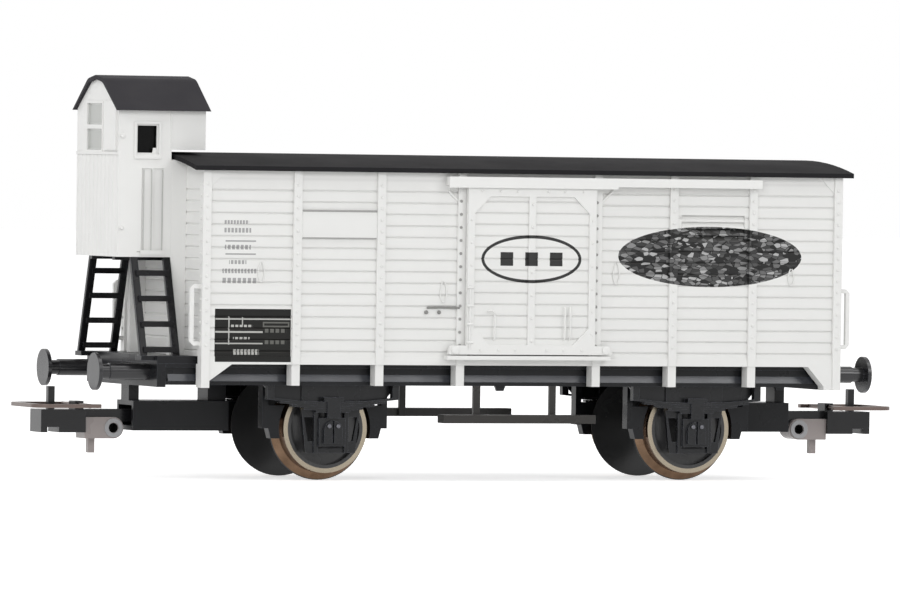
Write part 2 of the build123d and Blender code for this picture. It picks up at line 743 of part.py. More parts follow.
# Cab roof, a thin folded sheet with a slightly crowned ridge and rounded shoulders
with BuildPart() as cab_roof:
    with BuildSketch(Plane.YZ.offset(-cab_end - cab_roof_end)):
        cab_arch(roof_side_half, cab_roof_flat, cab_ridge, cab_roof_round)
        with BuildSketch(mode=Mode.SUBTRACT):
            cab_arch(under_half, under_flat, under_ridge, under_round)
    extrude(amount=cab_end - cab_back_upper + 2 * cab_roof_end)
save(cab_roof, "cab_roof")

# Cab floor on two bearers that come out from the end wall
bearer_height = 1.5
bearer_width = 1.0
bearer_place = 4.5
with BuildPart() as cab_floor:
    with BuildSketch(Plane.XY.offset(cab_bottom)):
        block(-cab_end + cab_wall, -cab_back - cab_wall, -cab_half_width + cab_wall,
              cab_half_width - cab_wall)
    extrude(amount=cab_wall)
    with BuildSketch(Plane.XY.offset(cab_bottom)):
        for face in (-1, 1):
            with Locations((-(cab_end + deck_edge) / 2, face * bearer_place)):
                Rectangle(cab_end - deck_edge, bearer_width)
    extrude(amount=-bearer_height)
save(cab_floor, "cab_floor")

# Cab window panes, behind the wall openings
pane = 0.3
pane_lap = 0.3
with BuildPart() as glazing:
    left, right, low, high = side_window
    for face in (-1, 1):
        with BuildSketch(side_plane(face, cab_half_width - cab_wall, 0)):
            with Locations((face * (cab_end - (left + right) / 2), cab_eave + (low + high) / 2)):
                Rectangle(right - left + 2 * pane_lap, high - low + 2 * pane_lap)
        extrude(amount=-pane)
    left, right, low, high = end_window
    with BuildSketch(Plane.YZ.offset(-cab_end + cab_wall)):
        block(left - pane_lap, right + pane_lap, cab_eave + low - pane_lap, cab_eave + high + pane_lap)
    extrude(amount=pane)
save(glazing, "cab_glazing")

# Ladders from the deck up to the cab doors
ladder_inset = 0.65       # ladder's top from the cab's side
ladder_top = cab_half_width - ladder_inset
ladder_treads = 4
tread_low = 0.55          # underside of the lowest tread above the deck
tread_high = 2.3          # underside of the highest tread below the cab
tread_pitch = (cab_raised - tread_low - tread_high) / (ladder_treads - 1)
tread_thickness = 0.6
tread_depth = 1.1
for side_name, side in sides:
    with BuildPart() as ladder:
        for place in ladder_stiles:
            with BuildSketch(Plane.YZ.offset(place - cab_end - stile_width / 2)):
                Polygon((side * ladder_top, cab_bottom), (side * (ladder_top + stile_width), cab_bottom),
                        (side * (ladder_foot + stile_width), floor_top), (side * ladder_foot, floor_top),
                        align=None)
            extrude(amount=stile_width)
        for number in range(ladder_treads):
            height = floor_top + tread_low + number * tread_pitch
            share = (height - floor_top) / (cab_bottom - floor_top)
            reach = ladder_foot + share * (ladder_top - ladder_foot) + stile_width / 2
            with BuildSketch(Plane.XY.offset(height)):
                block(ladder_stiles[0] - cab_end, ladder_stiles[1] - cab_end,
                      side * reach - tread_depth / 2, side * reach + tread_depth / 2)
            extrude(amount=tread_thickness)
    save(ladder, f"ladder_{side_name}")

# Coupler housings under the headstocks
housing_low = 6.3
housing_high = 10.2
housing_wall = 0.6
riser_length = 2.5
riser_half = 2.0
hanger_half = 1.5
hanger_depth = 0.7        # to each side of the back of the headstock
drawbar_half = 0.9
drawbar_slack = 0.35      # above and below the drawbar, beside the swing clearance
eye_radius = 1.4
pivot_radius = 0.6
housing_lead = 0.65       # how far the housing reaches past the back of the headstock
housing_back = body_shift + wheelbase / 2 + housing_gap
housing_front = headstock_back + housing_lead
coupler_pivot = housing_back + pivot_inset
slot_back = coupler_pivot - eye_radius - 2 * swing_clearance
slot_half = (drawbar_half / cos(radians(swing_angle)) + swing_clearance
             + (housing_front - coupler_pivot) * tan(radians(swing_angle)))
housing_half = slot_half + housing_wall
slot_low = housing_low + housing_wall
slot_high = housing_high - housing_wall
drawbar_low = slot_low + swing_clearance + drawbar_slack
drawbar_high = slot_high - swing_clearance - drawbar_slack
for end_name, end in ends:
    with BuildPart() as housing:
        with BuildSketch(lengthwise(end)):
            block(housing_back, housing_front, housing_low, housing_high)
        extrude(amount=housing_half, both=True)
        with BuildSketch(plan(end, slot_low)):
            block(slot_back, housing_front, -slot_half, slot_half)
            with Locations((coupler_pivot, 0)):
                Circle(pivot_radius, mode=Mode.SUBTRACT)
        extrude(amount=slot_high - slot_low, mode=Mode.SUBTRACT)
        with BuildSketch(plan(end, housing_high)):
            block(housing_back, housing_back + riser_length, -riser_half, riser_half)
        extrude(amount=pan_bottom - housing_high)
        with BuildSketch(plan(end, housing_high)):
            block(headstock_back - hanger_depth, headstock_back + hanger_depth, -hanger_half, hanger_half)
        extrude(amount=frame_top - headstock_height - housing_high)
    save(housing, f"coupler_housing_{end_name}")

# Coupler drawbars, pockets, heads and loops
coupler_face = buffer_face - coupler_setback
coupler_tip = buffer_face + coupler_reach
pocket_half = 1.7
pocket_low = 5.2
pocket_high = 8.0
pocket_length = 4.0       # from the coupler's face to the middle of the rounded end
pocket_hole = 0.65
pocket_end = coupler_face - pocket_length
pin_setback = 1.4         # from the coupler's face to the middle of the pin
pin_place = coupler_face - pin_setback
pin_width = 0.9
pin_length = 1.9
head_length = 6.2
head_half = 2.2
head_low = 6.0
head_high = 9.0
notch_length = 1.6        # cut in the underside of the head, behind its front edge
notch_height = 0.7
head_lip = 0.9
post_setback = 2.0        # from the head's front to the middle of the post
post_half = 0.45
post_top = 12.0
pivot_setback = 0.6       # loop's pivot ahead of the coupler's face
loop_height = 9.55
loop_pin = 0.3
loop_tail = 1.4           # loop behind its pivot
ear_half = 0.6
ear_top = 0.55            # above the loop's pivot
ear_width = 1.2
loop_half = 6.0
loop_strip = 0.9
loop_thickness = 0.5
loop_corner = 2.2
head_front = coupler_face + head_length
post_place = head_front - post_setback
loop_pivot = coupler_face + pivot_setback
loop_back = loop_pivot - loop_tail
for end_name, end in ends:
    with BuildPart() as drawbar:
        with BuildSketch(plan(end, drawbar_low)):
            with Locations((coupler_pivot, 0)):
                Circle(eye_radius)
            block(coupler_pivot, coupler_face, -drawbar_half, drawbar_half)
            with Locations((coupler_pivot, 0)):
                Circle(pivot_radius + pin_clearance, mode=Mode.SUBTRACT)
        extrude(amount=drawbar_high - drawbar_low)
    save(drawbar, f"drawbar_{end_name}")

    with BuildPart() as pocket:
        with BuildSketch(lengthwise(end)):
            with Locations((pocket_end, (pocket_low + pocket_high) / 2)):
                Circle((pocket_high - pocket_low) / 2)
            block(pocket_end, coupler_face, pocket_low, pocket_high)
            with Locations((pocket_end, (pocket_low + pocket_high) / 2)):
                Circle(pocket_hole, mode=Mode.SUBTRACT)
        extrude(amount=pocket_half, both=True)
        with BuildSketch(plan(end, drawbar_low)):
            block(pocket_end - pocket_high, coupler_face, -drawbar_half, drawbar_half)
        extrude(amount=pocket_high, mode=Mode.SUBTRACT)
        with BuildSketch(plan(end, pocket_low)):
            with Locations((pin_place, 0)):
                Rectangle(pin_width, pin_width)
        extrude(amount=-pin_length)
    save(pocket, f"coupler_pocket_{end_name}")

    with BuildPart() as head:
        with BuildSketch(lengthwise(end)):
            block(coupler_face, head_front, head_low, head_high)
            block(head_front - head_lip - notch_length, head_front - head_lip, head_low,
                  head_low + notch_height, Mode.SUBTRACT)
        extrude(amount=head_half, both=True)
        with BuildSketch(lengthwise(end)):
            block(loop_pivot - ear_half, loop_pivot + ear_half, head_high, loop_height + ear_top)
            with Locations((loop_pivot, loop_height)):
                Circle(loop_pin + pin_clearance, mode=Mode.SUBTRACT)
        extrude(amount=ear_width, both=True)
        with BuildSketch(lengthwise(end)):
            block(post_place - post_half, post_place + post_half, head_high, post_top)
        extrude(amount=post_half, both=True)
    save(head, f"coupler_head_{end_name}")

    with BuildPart() as loop:
        with BuildSketch(plan(end, loop_height - loop_thickness / 2)):
            with BuildSketch(mode=Mode.PRIVATE) as outer:
                block(loop_back, coupler_tip, -loop_half, loop_half)
                fillet(outer.vertices().sort_by(Axis.X)[-2:], loop_corner)
            add(outer.sketch)
            with BuildSketch(mode=Mode.PRIVATE) as inner:
                block(loop_back, coupler_tip - loop_strip, -loop_half + loop_strip, loop_half - loop_strip)
                fillet(inner.vertices().sort_by(Axis.X)[-2:], loop_corner - loop_strip)
            add(inner.sketch, mode=Mode.SUBTRACT)
        extrude(amount=loop_thickness)
        with BuildSketch(lengthwise(end)):
            with Locations((loop_pivot, loop_height)):
                Circle(loop_pin)
        extrude(amount=loop_half - loop_strip / 2, both=True)
    save(loop, f"coupler_loop_{end_name}")
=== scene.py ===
"""Dresses the scale model covered goods wagon. Metres, in the same frame as the wagon's construction."""
from math import cos, pi, radians, sin

import bpy
from mathutils import Matrix, Vector


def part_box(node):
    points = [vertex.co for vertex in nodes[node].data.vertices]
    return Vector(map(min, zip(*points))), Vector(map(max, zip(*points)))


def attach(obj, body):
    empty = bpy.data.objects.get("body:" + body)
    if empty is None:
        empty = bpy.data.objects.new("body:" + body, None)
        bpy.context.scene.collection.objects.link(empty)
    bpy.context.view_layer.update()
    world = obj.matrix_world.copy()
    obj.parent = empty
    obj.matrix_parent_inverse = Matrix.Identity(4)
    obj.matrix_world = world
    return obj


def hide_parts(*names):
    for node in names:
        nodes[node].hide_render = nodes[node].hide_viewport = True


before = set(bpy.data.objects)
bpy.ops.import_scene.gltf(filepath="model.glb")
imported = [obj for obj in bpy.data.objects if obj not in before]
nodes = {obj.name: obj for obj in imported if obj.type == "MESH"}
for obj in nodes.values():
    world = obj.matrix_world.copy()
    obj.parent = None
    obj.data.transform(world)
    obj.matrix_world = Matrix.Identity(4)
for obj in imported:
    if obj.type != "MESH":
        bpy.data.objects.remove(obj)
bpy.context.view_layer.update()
bpy.ops.object.select_all(action="DESELECT")
scene = bpy.context.scene
scene.view_settings.view_transform = "Standard"
MM = 0.001
SIDES = (("near", -1), ("far", 1))
ENDS = (("brake", -1), ("plain", 1))


# Frame: chassis pan, channel sole bars, headstocks and deck, moulded in near-black plastic with a
# satin face. The pieces are glued to the body's floor, and all the running gear has the same black.
def feed(tree, node, values):
    """Sets a node's inputs to numbers, colours and vectors, or links other nodes' outputs to them."""
    for label, value in values.items():
        if isinstance(value, bpy.types.NodeSocket):
            tree.links.new(value, node.inputs[label])
        else:
            node.inputs[label].default_value = value
    return node


def shader_group(name, inputs, outputs):
    """A shader node group with named sockets, with what its inputs give and its output node."""
    group = bpy.data.node_groups.new(name, "ShaderNodeTree")
    for label, kind, value in inputs:
        socket = group.interface.new_socket(name=label, in_out="INPUT", socket_type=f"NodeSocket{kind}")
        socket.default_value = value
    for label, kind in outputs:
        group.interface.new_socket(name=label, in_out="OUTPUT", socket_type=f"NodeSocket{kind}")
    return group, group.nodes.new("NodeGroupInput").outputs, group.nodes.new("NodeGroupOutput")


def sum_node(tree, operation, first, second=0.0):
    """A math node. Each of its two inputs is a number or another node's output."""
    node = tree.nodes.new("ShaderNodeMath")
    node.operation = operation
    return feed(tree, node, {0: first, 1: second}).outputs[0]


def vector_node(tree, operation, first, second=(0, 0, 0)):
    """A vector math node. It gives a number for a product or a length, and else a vector."""
    node = tree.nodes.new("ShaderNodeVectorMath")
    node.operation = operation
    feed(tree, node, {0: first, 1: second})
    return node.outputs["Value" if operation in ("DOT_PRODUCT", "LENGTH") else "Vector"]


def split_node(tree, vector):
    """The coordinates of a vector, by their letters."""
    return feed(tree, tree.nodes.new("ShaderNodeSeparateXYZ"), {0: vector}).outputs


def blend_node(tree, share, first, second):
    """A colour that goes from the first to the second by a share."""
    node = tree.nodes.new("ShaderNodeMix")
    node.data_type = "RGBA"
    places = {entry.name: place for place, entry in enumerate(node.inputs) if entry.enabled}
    feed(tree, node, {places["Factor"]: share, places["A"]: first, places["B"]: second})
    return [entry for entry in node.outputs if entry.enabled][0]


def noise_node(tree, scale, detail):
    """The value of a fine noise on the object's own coordinates."""
    place = tree.nodes.new("ShaderNodeTexCoord").outputs["Object"]
    noise = tree.nodes.new("ShaderNodeTexNoise")
    return feed(tree, noise, {"Detail": detail, "Scale": scale, "Vector": place}).outputs[0]


mottle_scale = 160.0        # noise scales are in features to a metre
roughness_spread = 0.3
wear_glint_scale = 900.0
edge_gain = 5.0
dust_scale = 420.0

grain_group, given, result = shader_group(
    "moulding_grain",
    (("Colour", "Color", (0.5, 0.5, 0.5, 1)), ("Roughness", "Float", 0.5), ("Mottle", "Float", 0.1),
     ("Grain Scale", "Float", 3500.0)),
    (("Colour", "Color"), ("Roughness", "Float"), ("Height", "Float")))
patches = noise_node(grain_group, mottle_scale, 4)
shade = sum_node(grain_group, "MULTIPLY", patches, given["Mottle"])
darker = blend_node(grain_group, 0.5, given["Colour"], (0, 0, 0, 1))
uneven = sum_node(grain_group, "MULTIPLY", sum_node(grain_group, "SUBTRACT", patches, 0.5), roughness_spread)
feed(grain_group, result, {
    "Colour": blend_node(grain_group, shade, given["Colour"], darker),
    "Roughness": sum_node(grain_group, "ADD", uneven, given["Roughness"]),
    "Height": noise_node(grain_group, given["Grain Scale"], 2)})

# Edge wear: a lighter colour along the edges, for wear and as a painted glint where they catch the light. On
# the black parts its bluish grey is mostly painted highlight.
wear_glint_group, given, result = shader_group(
    "edge_wear_and_glint",
    (("Colour", "Color", (0.5, 0.5, 0.5, 1)), ("Wear Glint Colour", "Color", (1, 1, 1, 1)),
     ("Amount", "Float", 0.3), ("Rounding", "Float", 0.06 * MM)),
    (("Colour", "Color"), ("Normal", "Vector")))
rounded = feed(wear_glint_group, wear_glint_group.nodes.new("ShaderNodeBevel"), {"Radius": given["Rounding"]})
rounded.samples = 4
flat = wear_glint_group.nodes.new("ShaderNodeNewGeometry")
turned = vector_node(wear_glint_group, "DOT_PRODUCT", rounded.outputs[0], flat.outputs["Normal"])
edge = sum_node(wear_glint_group, "MULTIPLY", sum_node(wear_glint_group, "SUBTRACT", 1.0, turned), edge_gain)
worn_and_glinting = sum_node(wear_glint_group, "MULTIPLY", edge, noise_node(wear_glint_group, wear_glint_scale, 3))
wear_glint_share = sum_node(wear_glint_group, "MINIMUM", sum_node(wear_glint_group, "MULTIPLY", worn_and_glinting, given["Amount"]), 1.0)
feed(wear_glint_group, result, {
    "Colour": blend_node(wear_glint_group, wear_glint_share, given["Colour"], given["Wear Glint Colour"]),
    "Normal": rounded.outputs[0]})

dust_group, given, result = shader_group(
    "settled_dust",
    (("Colour", "Color", (0.5, 0.5, 0.5, 1)), ("Dust Colour", "Color", (0.4, 0.38, 0.35, 1)),
     ("Amount", "Float", 0.1)),
    (("Colour", "Color"),))
facing = dust_group.nodes.new("ShaderNodeNewGeometry")
upwards = sum_node(dust_group, "MAXIMUM", split_node(dust_group, facing.outputs["Normal"])["Z"])
layer = sum_node(dust_group, "MULTIPLY", upwards, noise_node(dust_group, dust_scale, 5))
layer = sum_node(dust_group, "MULTIPLY", layer, given["Amount"])
feed(dust_group, result, {"Colour": blend_node(dust_group, layer, given["Colour"], given["Dust Colour"])})


def use_group(tree, group, values):
    """Places a group in a material under the group's name and feeds its inputs."""
    node = tree.nodes.new("ShaderNodeGroup")
    node.node_tree = group
    node.name = group.name
    return feed(tree, node, values)


def moulded(name, colour, roughness, wear_glint_colour, wear_glint, dust, metallic=0.0, specular=0.5):
    """A material for moulded plastic or metal: its grain, edges lightened for wear and as a painted glint,
    and a little dust.
    """
    mottle = 0.12
    grain_strength = 0.4
    grain_depth = 0.003 * MM
    material = bpy.data.materials.new(name)
    material.use_nodes = True
    tree = material.node_tree
    grain = use_group(tree, grain_group, {
        "Colour": (*colour, 1), "Roughness": roughness, "Mottle": mottle})
    wear_glint_step = use_group(tree, wear_glint_group, {
        "Colour": grain.outputs["Colour"], "Wear Glint Colour": (*wear_glint_colour, 1), "Amount": wear_glint})
    dust_step = use_group(tree, dust_group, {"Colour": wear_glint_step.outputs["Colour"], "Amount": dust})
    bump = feed(tree, tree.nodes.new("ShaderNodeBump"), {
        "Strength": grain_strength, "Distance": grain_depth,
        "Height": grain.outputs["Height"], "Normal": wear_glint_step.outputs["Normal"]})
    feed(tree, tree.nodes["Principled BSDF"], {
        "Metallic": metallic, "Specular IOR Level": specular, "Base Color": dust_step.outputs["Colour"],
        "Roughness": grain.outputs["Roughness"], "Normal": bump.outputs["Normal"]})
    return material


def dress(material, *names):
    """Gives pieces of the construction their material."""
    for name in names:
        for place in nodes[name].material_slots:
            place.material = material


black_plastic = moulded("black_plastic", colour=(0.009, 0.0095, 0.011), roughness=0.3,
                        wear_glint_colour=(0.13, 0.14, 0.17), wear_glint=0.8, dust=0.04, specular=0.2)
dress(black_plastic, "chassis_pan", "brake_deck", "sole_bar_near", "sole_bar_far", "headstock_brake",
      "headstock_plain")

# Foot of each sole bar's web: a slanted moulding above the lower flange. Its black plastic is glossier than
# the frame's and catches the light along the whole wagon; its lighter, bluish colour is a painted sheen of
# that light.
UP = Vector((0, 0, 1))
DOWN = Vector((0, 0, -1))
half_turn = Matrix.Rotation(pi, 4, "Z")
bar_low, bar_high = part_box("sole_bar_near")
web_face = bar_low[1] + 0.5 * MM
foot_low = bar_low[2] + 0.48 * MM
foot_high = foot_low + 0.95 * MM
foot_out = web_face - 0.28 * MM
foot_root = web_face + 0.05 * MM
foot_inset = 0.4 * MM
foot_slope = 0.12       # what is left of its depth at the top


def pick_faces(piece, *directions):
    """Selects the faces that look in one of the directions, and stays in edit mode."""
    least_cosine = 0.9
    bpy.ops.object.mode_set(mode="EDIT")
    bpy.ops.mesh.select_mode(type="FACE")
    bpy.ops.mesh.select_all(action="DESELECT")
    bpy.ops.object.mode_set(mode="OBJECT")
    for face in piece.data.polygons:
        face.select = any(face.normal.dot(direction) > least_cosine for direction in directions)
    bpy.ops.object.mode_set(mode="EDIT")


def taper(piece, direction, shares, **pivot):
    """Draws in the face that looks in a direction."""
    pick_faces(piece, direction)
    bpy.ops.transform.resize(value=shares, **pivot)
    bpy.ops.object.mode_set(mode="OBJECT")


def solid_block(name, low, high):
    """A block between two corners, its origin at the world's."""
    bpy.ops.mesh.primitive_cube_add(size=1, location=[(a + b) / 2 for a, b in zip(low, high)])
    piece = bpy.context.object
    piece.name = name
    piece.scale = [b - a for a, b in zip(low, high)]
    bpy.ops.object.transform_apply(location=True, rotation=True, scale=True)
    return piece


def seat(piece, name, material, body):
    """Names a finished piece, gives it its material and lets it ride on its body."""
    piece.name = name
    piece.data.name = name
    piece.data.materials.clear()
    piece.data.materials.append(material)
    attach(piece, body)


def join_pieces(first, others):
    """Joins pieces into the first one."""
    bpy.ops.object.select_all(action="DESELECT")
    for piece in (*others, first):
        piece.select_set(True)
    bpy.context.view_layer.objects.active = first
    bpy.ops.object.join()
    bpy.ops.object.select_all(action="DESELECT")
    return first


def set_out(pattern, matrices, name):
    """Copies a modelled piece to each place, joins the copies and leaves the pattern alone."""
    copies = []
    for matrix in matrices:
        copy = pattern.copy()
        copy.data = pattern.data.copy()
        copy.data.transform(matrix)
        scene.collection.objects.link(copy)
        copies.append(copy)
    join_pieces(copies[0], copies[1:])
    copies[0].name = name
    return copies[0]


def face_outwards(piece):
    """Turns all the faces of a closed piece outwards."""
    bpy.context.view_layer.objects.active = piece
    bpy.ops.object.mode_set(mode="EDIT")
    bpy.ops.mesh.select_all(action="SELECT")
    bpy.ops.mesh.normals_make_consistent(inside=False)
    bpy.ops.object.mode_set(mode="OBJECT")


def seat_pair(near, name, material, turn, far_material=None, bodies=("wagon", "wagon")):
    """Seats a near piece and sets out its twin on the far side, turned or mirrored."""
    seat(near, f"{name}_near", material, bodies[0])
    far = set_out(near, [turn], f"{name}_far")
    if turn.determinant() < 0:
        face_outwards(far)
    seat(far, f"{name}_far", far_material or material, bodies[1])


web_foot = solid_block("web_foot_near", (bar_low[0] + foot_inset, foot_out, foot_low),
                       (bar_high[0] - foot_inset, foot_root, foot_high))
taper(web_foot, UP, (1, foot_slope, 1), center_override=(0, foot_root, 0))
# Its lighter, bluish colour is a painted sheen.
web_foot_painted_sheen = moulded("web_foot_painted_sheen", colour=(0.022, 0.025, 0.034), roughness=0.34,
                      wear_glint_colour=(0.13, 0.14, 0.17), wear_glint=0.5, dust=0.03, specular=0.6)
seat_pair(web_foot, "web_foot", web_foot_painted_sheen, half_turn)

# Stubs under the sole bars: the lower ends of fastenings inside the frame, moulded on in the same
# black plastic. Each narrows downwards.
stub_out, stub_in = -13.55, -13.0
stub_share = 0.7        # what is left of its width at the foot
stub_places = (
    # from, to along the frame, underside
    (0.1, 1.5, 11.95),
    (40.3, 41.5, 12.2),
)
stubs = []
for start, stop, underside in stub_places:
    stub = solid_block("stub", (start * MM, stub_out * MM, underside * MM),
                       (stop * MM, stub_in * MM, bar_low[2]))
    taper(stub, DOWN, (stub_share, stub_share, 1))
    stubs.append(stub)
join_pieces(stubs[0], stubs[1:])
seat_pair(stubs[0], "stubs", black_plastic, half_turn)

# Axle guards with their springs, brake blocks and step boards: black mouldings clipped under the frame. The
# plastic is the frame's, a little duller, with lighter edges on the guards, for wear and as a painted bluish
# highlight.
guard_plastic = moulded("guard_plastic", colour=(0.009, 0.0095, 0.011), roughness=0.28,
                        wear_glint_colour=(0.20, 0.21, 0.25), wear_glint=1.0, dust=0.06, specular=0.3)
for end_name, end in ENDS:
    dress(black_plastic, f"brake_blocks_{end_name}")
    for side_name, side in SIDES:
        dress(guard_plastic, f"axle_guard_{end_name}_{side_name}")
for side_name, side in SIDES:
    step_plastic = moulded(f"step_plastic_{side_name}", colour=(0.022, 0.02, 0.018), roughness=0.3,
                           wear_glint_colour=(0.2, 0.19, 0.19), wear_glint=0.8, dust=0.06, specular=0.35)
    dress(step_plastic, f"step_board_{side_name}")

# Spring carriers: a flat web behind each leaf spring that joins the axle guard and both spring
# hangers to the sole bar. It is moulded with the guard, in the same plastic.
carrier_half = 9.35 * MM
carrier_inside = 11.32 * MM
carrier_depth = 0.36 * MM
carrier_foot = 10.4 * MM
carrier_share = 0.8     # what is left of its length at the foot
for end_name, end in ENDS:
    for side_name, side in SIDES:
        low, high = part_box(f"axle_guard_{end_name}_{side_name}")
        middle = (low[0] + high[0]) / 2
        depths = sorted((side * carrier_inside, side * (carrier_inside + carrier_depth)))
        carrier = solid_block("carrier", (middle - carrier_half, depths[0], carrier_foot),
                              (middle + carrier_half, depths[1], bar_low[2]))
        taper(carrier, DOWN, (carrier_share, 1, 1))
        seat(carrier, f"spring_carrier_{end_name}_{side_name}", guard_plastic, "wagon")


# Bolts of the running gear: two domed ones on each axlebox cover and two on each spring buckle's plate,
# moulded on in glossy black, coloured a light bluish grey that is a painted highlight.
NEAR = Vector((0, -1, 0))
FAR = Vector((0, 1, 0))


def cylinder(name, vertices, radius, length, middle=0.0):
    """A cylinder that lies along Y, its middle at a distance from the origin."""
    bpy.ops.mesh.primitive_cylinder_add(vertices=vertices, radius=radius, depth=length,
                                        location=(0, middle, 0), rotation=(pi / 2, 0, 0))
    piece = bpy.context.object
    piece.name = name
    bpy.ops.object.transform_apply(location=True, rotation=True, scale=True)
    return piece


def bolt_pattern(name, radius, height):
    """A domed bolt head with its foot at the origin, facing minus Y."""
    dome_inset = radius * 0.35
    dome_rise = height * 0.4
    head = cylinder(name, 8, radius, height, -height / 2)
    pick_faces(head, NEAR)
    bpy.ops.mesh.inset(thickness=dome_inset)
    bpy.ops.transform.translate(value=(0, -dome_rise, 0))
    bpy.ops.object.mode_set(mode="OBJECT")
    return head


gear_bolt_places = (
    # across from the axle, back from the cover's face, height
    (-0.62, 0.0, 7.25),
    (0.62, 0.0, 7.25),
    (-0.55, 0.3, 10.45),
    (0.55, 0.3, 10.45),
)
# Their light bluish grey is a painted highlight.
bolt_painted_highlight = moulded("bolt_painted_highlight", colour=(0.12, 0.12, 0.14), roughness=0.14,
                      wear_glint_colour=(0.5, 0.5, 0.55), wear_glint=0.8, dust=0.0)
gear_bolt = bolt_pattern("gear_bolt_pattern", radius=0.28 * MM, height=0.14 * MM)
for end_name, end in ENDS:
    for side_name, side in SIDES:
        low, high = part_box(f"axle_guard_{end_name}_{side_name}")
        middle = (low[0] + high[0]) / 2
        face = side * max(abs(low[1]), abs(high[1]))
        turned = Matrix.Identity(4) if side < 0 else half_turn
        places = [Matrix.Translation((middle + across * MM, face - side * back * MM, height * MM)) @ turned
                  for across, back, height in gear_bolt_places]
        name = f"gear_bolts_{end_name}_{side_name}"
        seat(set_out(gear_bolt, places, name), name, bolt_painted_highlight, "wagon")

# Wheels: black discs with a turned metal tyre, bright on its face and browned on the tread and the
# flange. Their backs are black. They are pressed on a bright steel axle with pointed ends.
tyre_inside = 5.25 * MM
back_plane = 7.3 * MM
face_skin = 0.02 * MM
tyre_bright = (0.30, 0.26, 0.20, 1)
tyre_brown = (0.09, 0.055, 0.035, 1)
tyre_rust = (0.26, 0.17, 0.11, 1)
rust_scale = 700.0


def reach_node(tree, vector):
    """How far a place is from a line along Y through the origin."""
    level = vector_node(tree, "MULTIPLY", vector, (1, 0, 1))
    return vector_node(tree, "LENGTH", level)


for end_name, end in ENDS:
    low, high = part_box(f"wheels_{end_name}")
    wheel_metal = moulded(f"wheel_metal_{end_name}", colour=(0.042, 0.042, 0.043), roughness=0.25,
                          wear_glint_colour=(0.2, 0.19, 0.18), wear_glint=0.5, dust=0.0, specular=0.4)
    tree = wheel_metal.node_tree
    place = tree.nodes.new("ShaderNodeTexCoord").outputs["Object"]
    hub = ((low[0] + high[0]) / 2, 0, (low[2] + high[2]) / 2)
    radius = reach_node(tree, vector_node(tree, "SUBTRACT", place, hub))
    across = sum_node(tree, "ABSOLUTE", split_node(tree, place)["Y"])
    on_tyre = sum_node(tree, "MULTIPLY", sum_node(tree, "GREATER_THAN", radius, tyre_inside),
                       sum_node(tree, "GREATER_THAN", across, back_plane))
    on_face = sum_node(tree, "GREATER_THAN", across, high[1] - face_skin)
    browned = blend_node(tree, noise_node(tree, rust_scale, 4), tyre_brown, tyre_rust)
    metal = blend_node(tree, on_face, browned, tyre_bright)
    base = blend_node(tree, on_tyre, tree.nodes["edge_wear_and_glint"].outputs["Colour"], metal)
    feed(tree, tree.nodes["settled_dust"], {"Colour": base})
    feed(tree, tree.nodes["Principled BSDF"], {"Metallic": on_tyre})
    dress(wheel_metal, f"wheels_{end_name}")
axle_steel = moulded("axle_steel", colour=(0.5, 0.5, 0.5), roughness=0.3, wear_glint_colour=(0.8, 0.8, 0.8),
                     wear_glint=0.4, dust=0.0, metallic=1.0)
dress(axle_steel, "axle_brake", "axle_plain")

# Buffers: flat heads on plungers in sleeves, one moulding each in glossier black plastic, pushed
# into the headstocks.
buffer_plastic = moulded("buffer_plastic", colour=(0.012, 0.012, 0.014), roughness=0.25,
                         wear_glint_colour=(0.2, 0.21, 0.25), wear_glint=0.8, dust=0.06)
for end_name, end in ENDS:
    for side_name, side in SIDES:
        dress(buffer_plastic, f"buffer_{end_name}_{side_name}")

# Body floor: a plain moulding in matt dark grey plastic that closes the body from below. The frame is
# glued to it.
floor_plastic = moulded("floor_plastic", colour=(0.1, 0.095, 0.09), roughness=0.6,
                        wear_glint_colour=(0.25, 0.24, 0.22), wear_glint=0.4, dust=0.4)
dress(floor_plastic, "body_floor")

# Side walls: boards and steel frame in white plastic, with painted grey shade along the joints of the boards.
# The print is part of the walls: a black data panel with white rules and faint rows of dashes at the left,
# and a grey patchwork of fields in an oval at the right.
WHITE = (0.80, 0.80, 0.785)
low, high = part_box("side_wall_near")
wall_face = low[1]
body_middle = (low[0] + high[0]) / 2
face_depth = 14.8 * MM      # what is nearer the middle than this takes no print

patch_group, given, result = shader_group(
    "printed_patch",
    (("Vector", "Vector", (0, 0, 0)), ("Left", "Float", 0.0), ("Right", "Float", 0.0),
     ("Low", "Float", 0.0), ("High", "Float", 0.0)),
    (("Mask", "Float"),))
split = split_node(patch_group, given["Vector"])
inside = sum_node(patch_group, "LESS_THAN", split["Y"], -face_depth)
for operation, axis, limit in (("GREATER_THAN", "X", "Left"), ("LESS_THAN", "X", "Right"),
                               ("GREATER_THAN", "Z", "Low"), ("LESS_THAN", "Z", "High")):
    within = sum_node(patch_group, operation, split[axis], given[limit])
    inside = sum_node(patch_group, "MULTIPLY", inside, within)
feed(patch_group, result, {"Mask": inside})

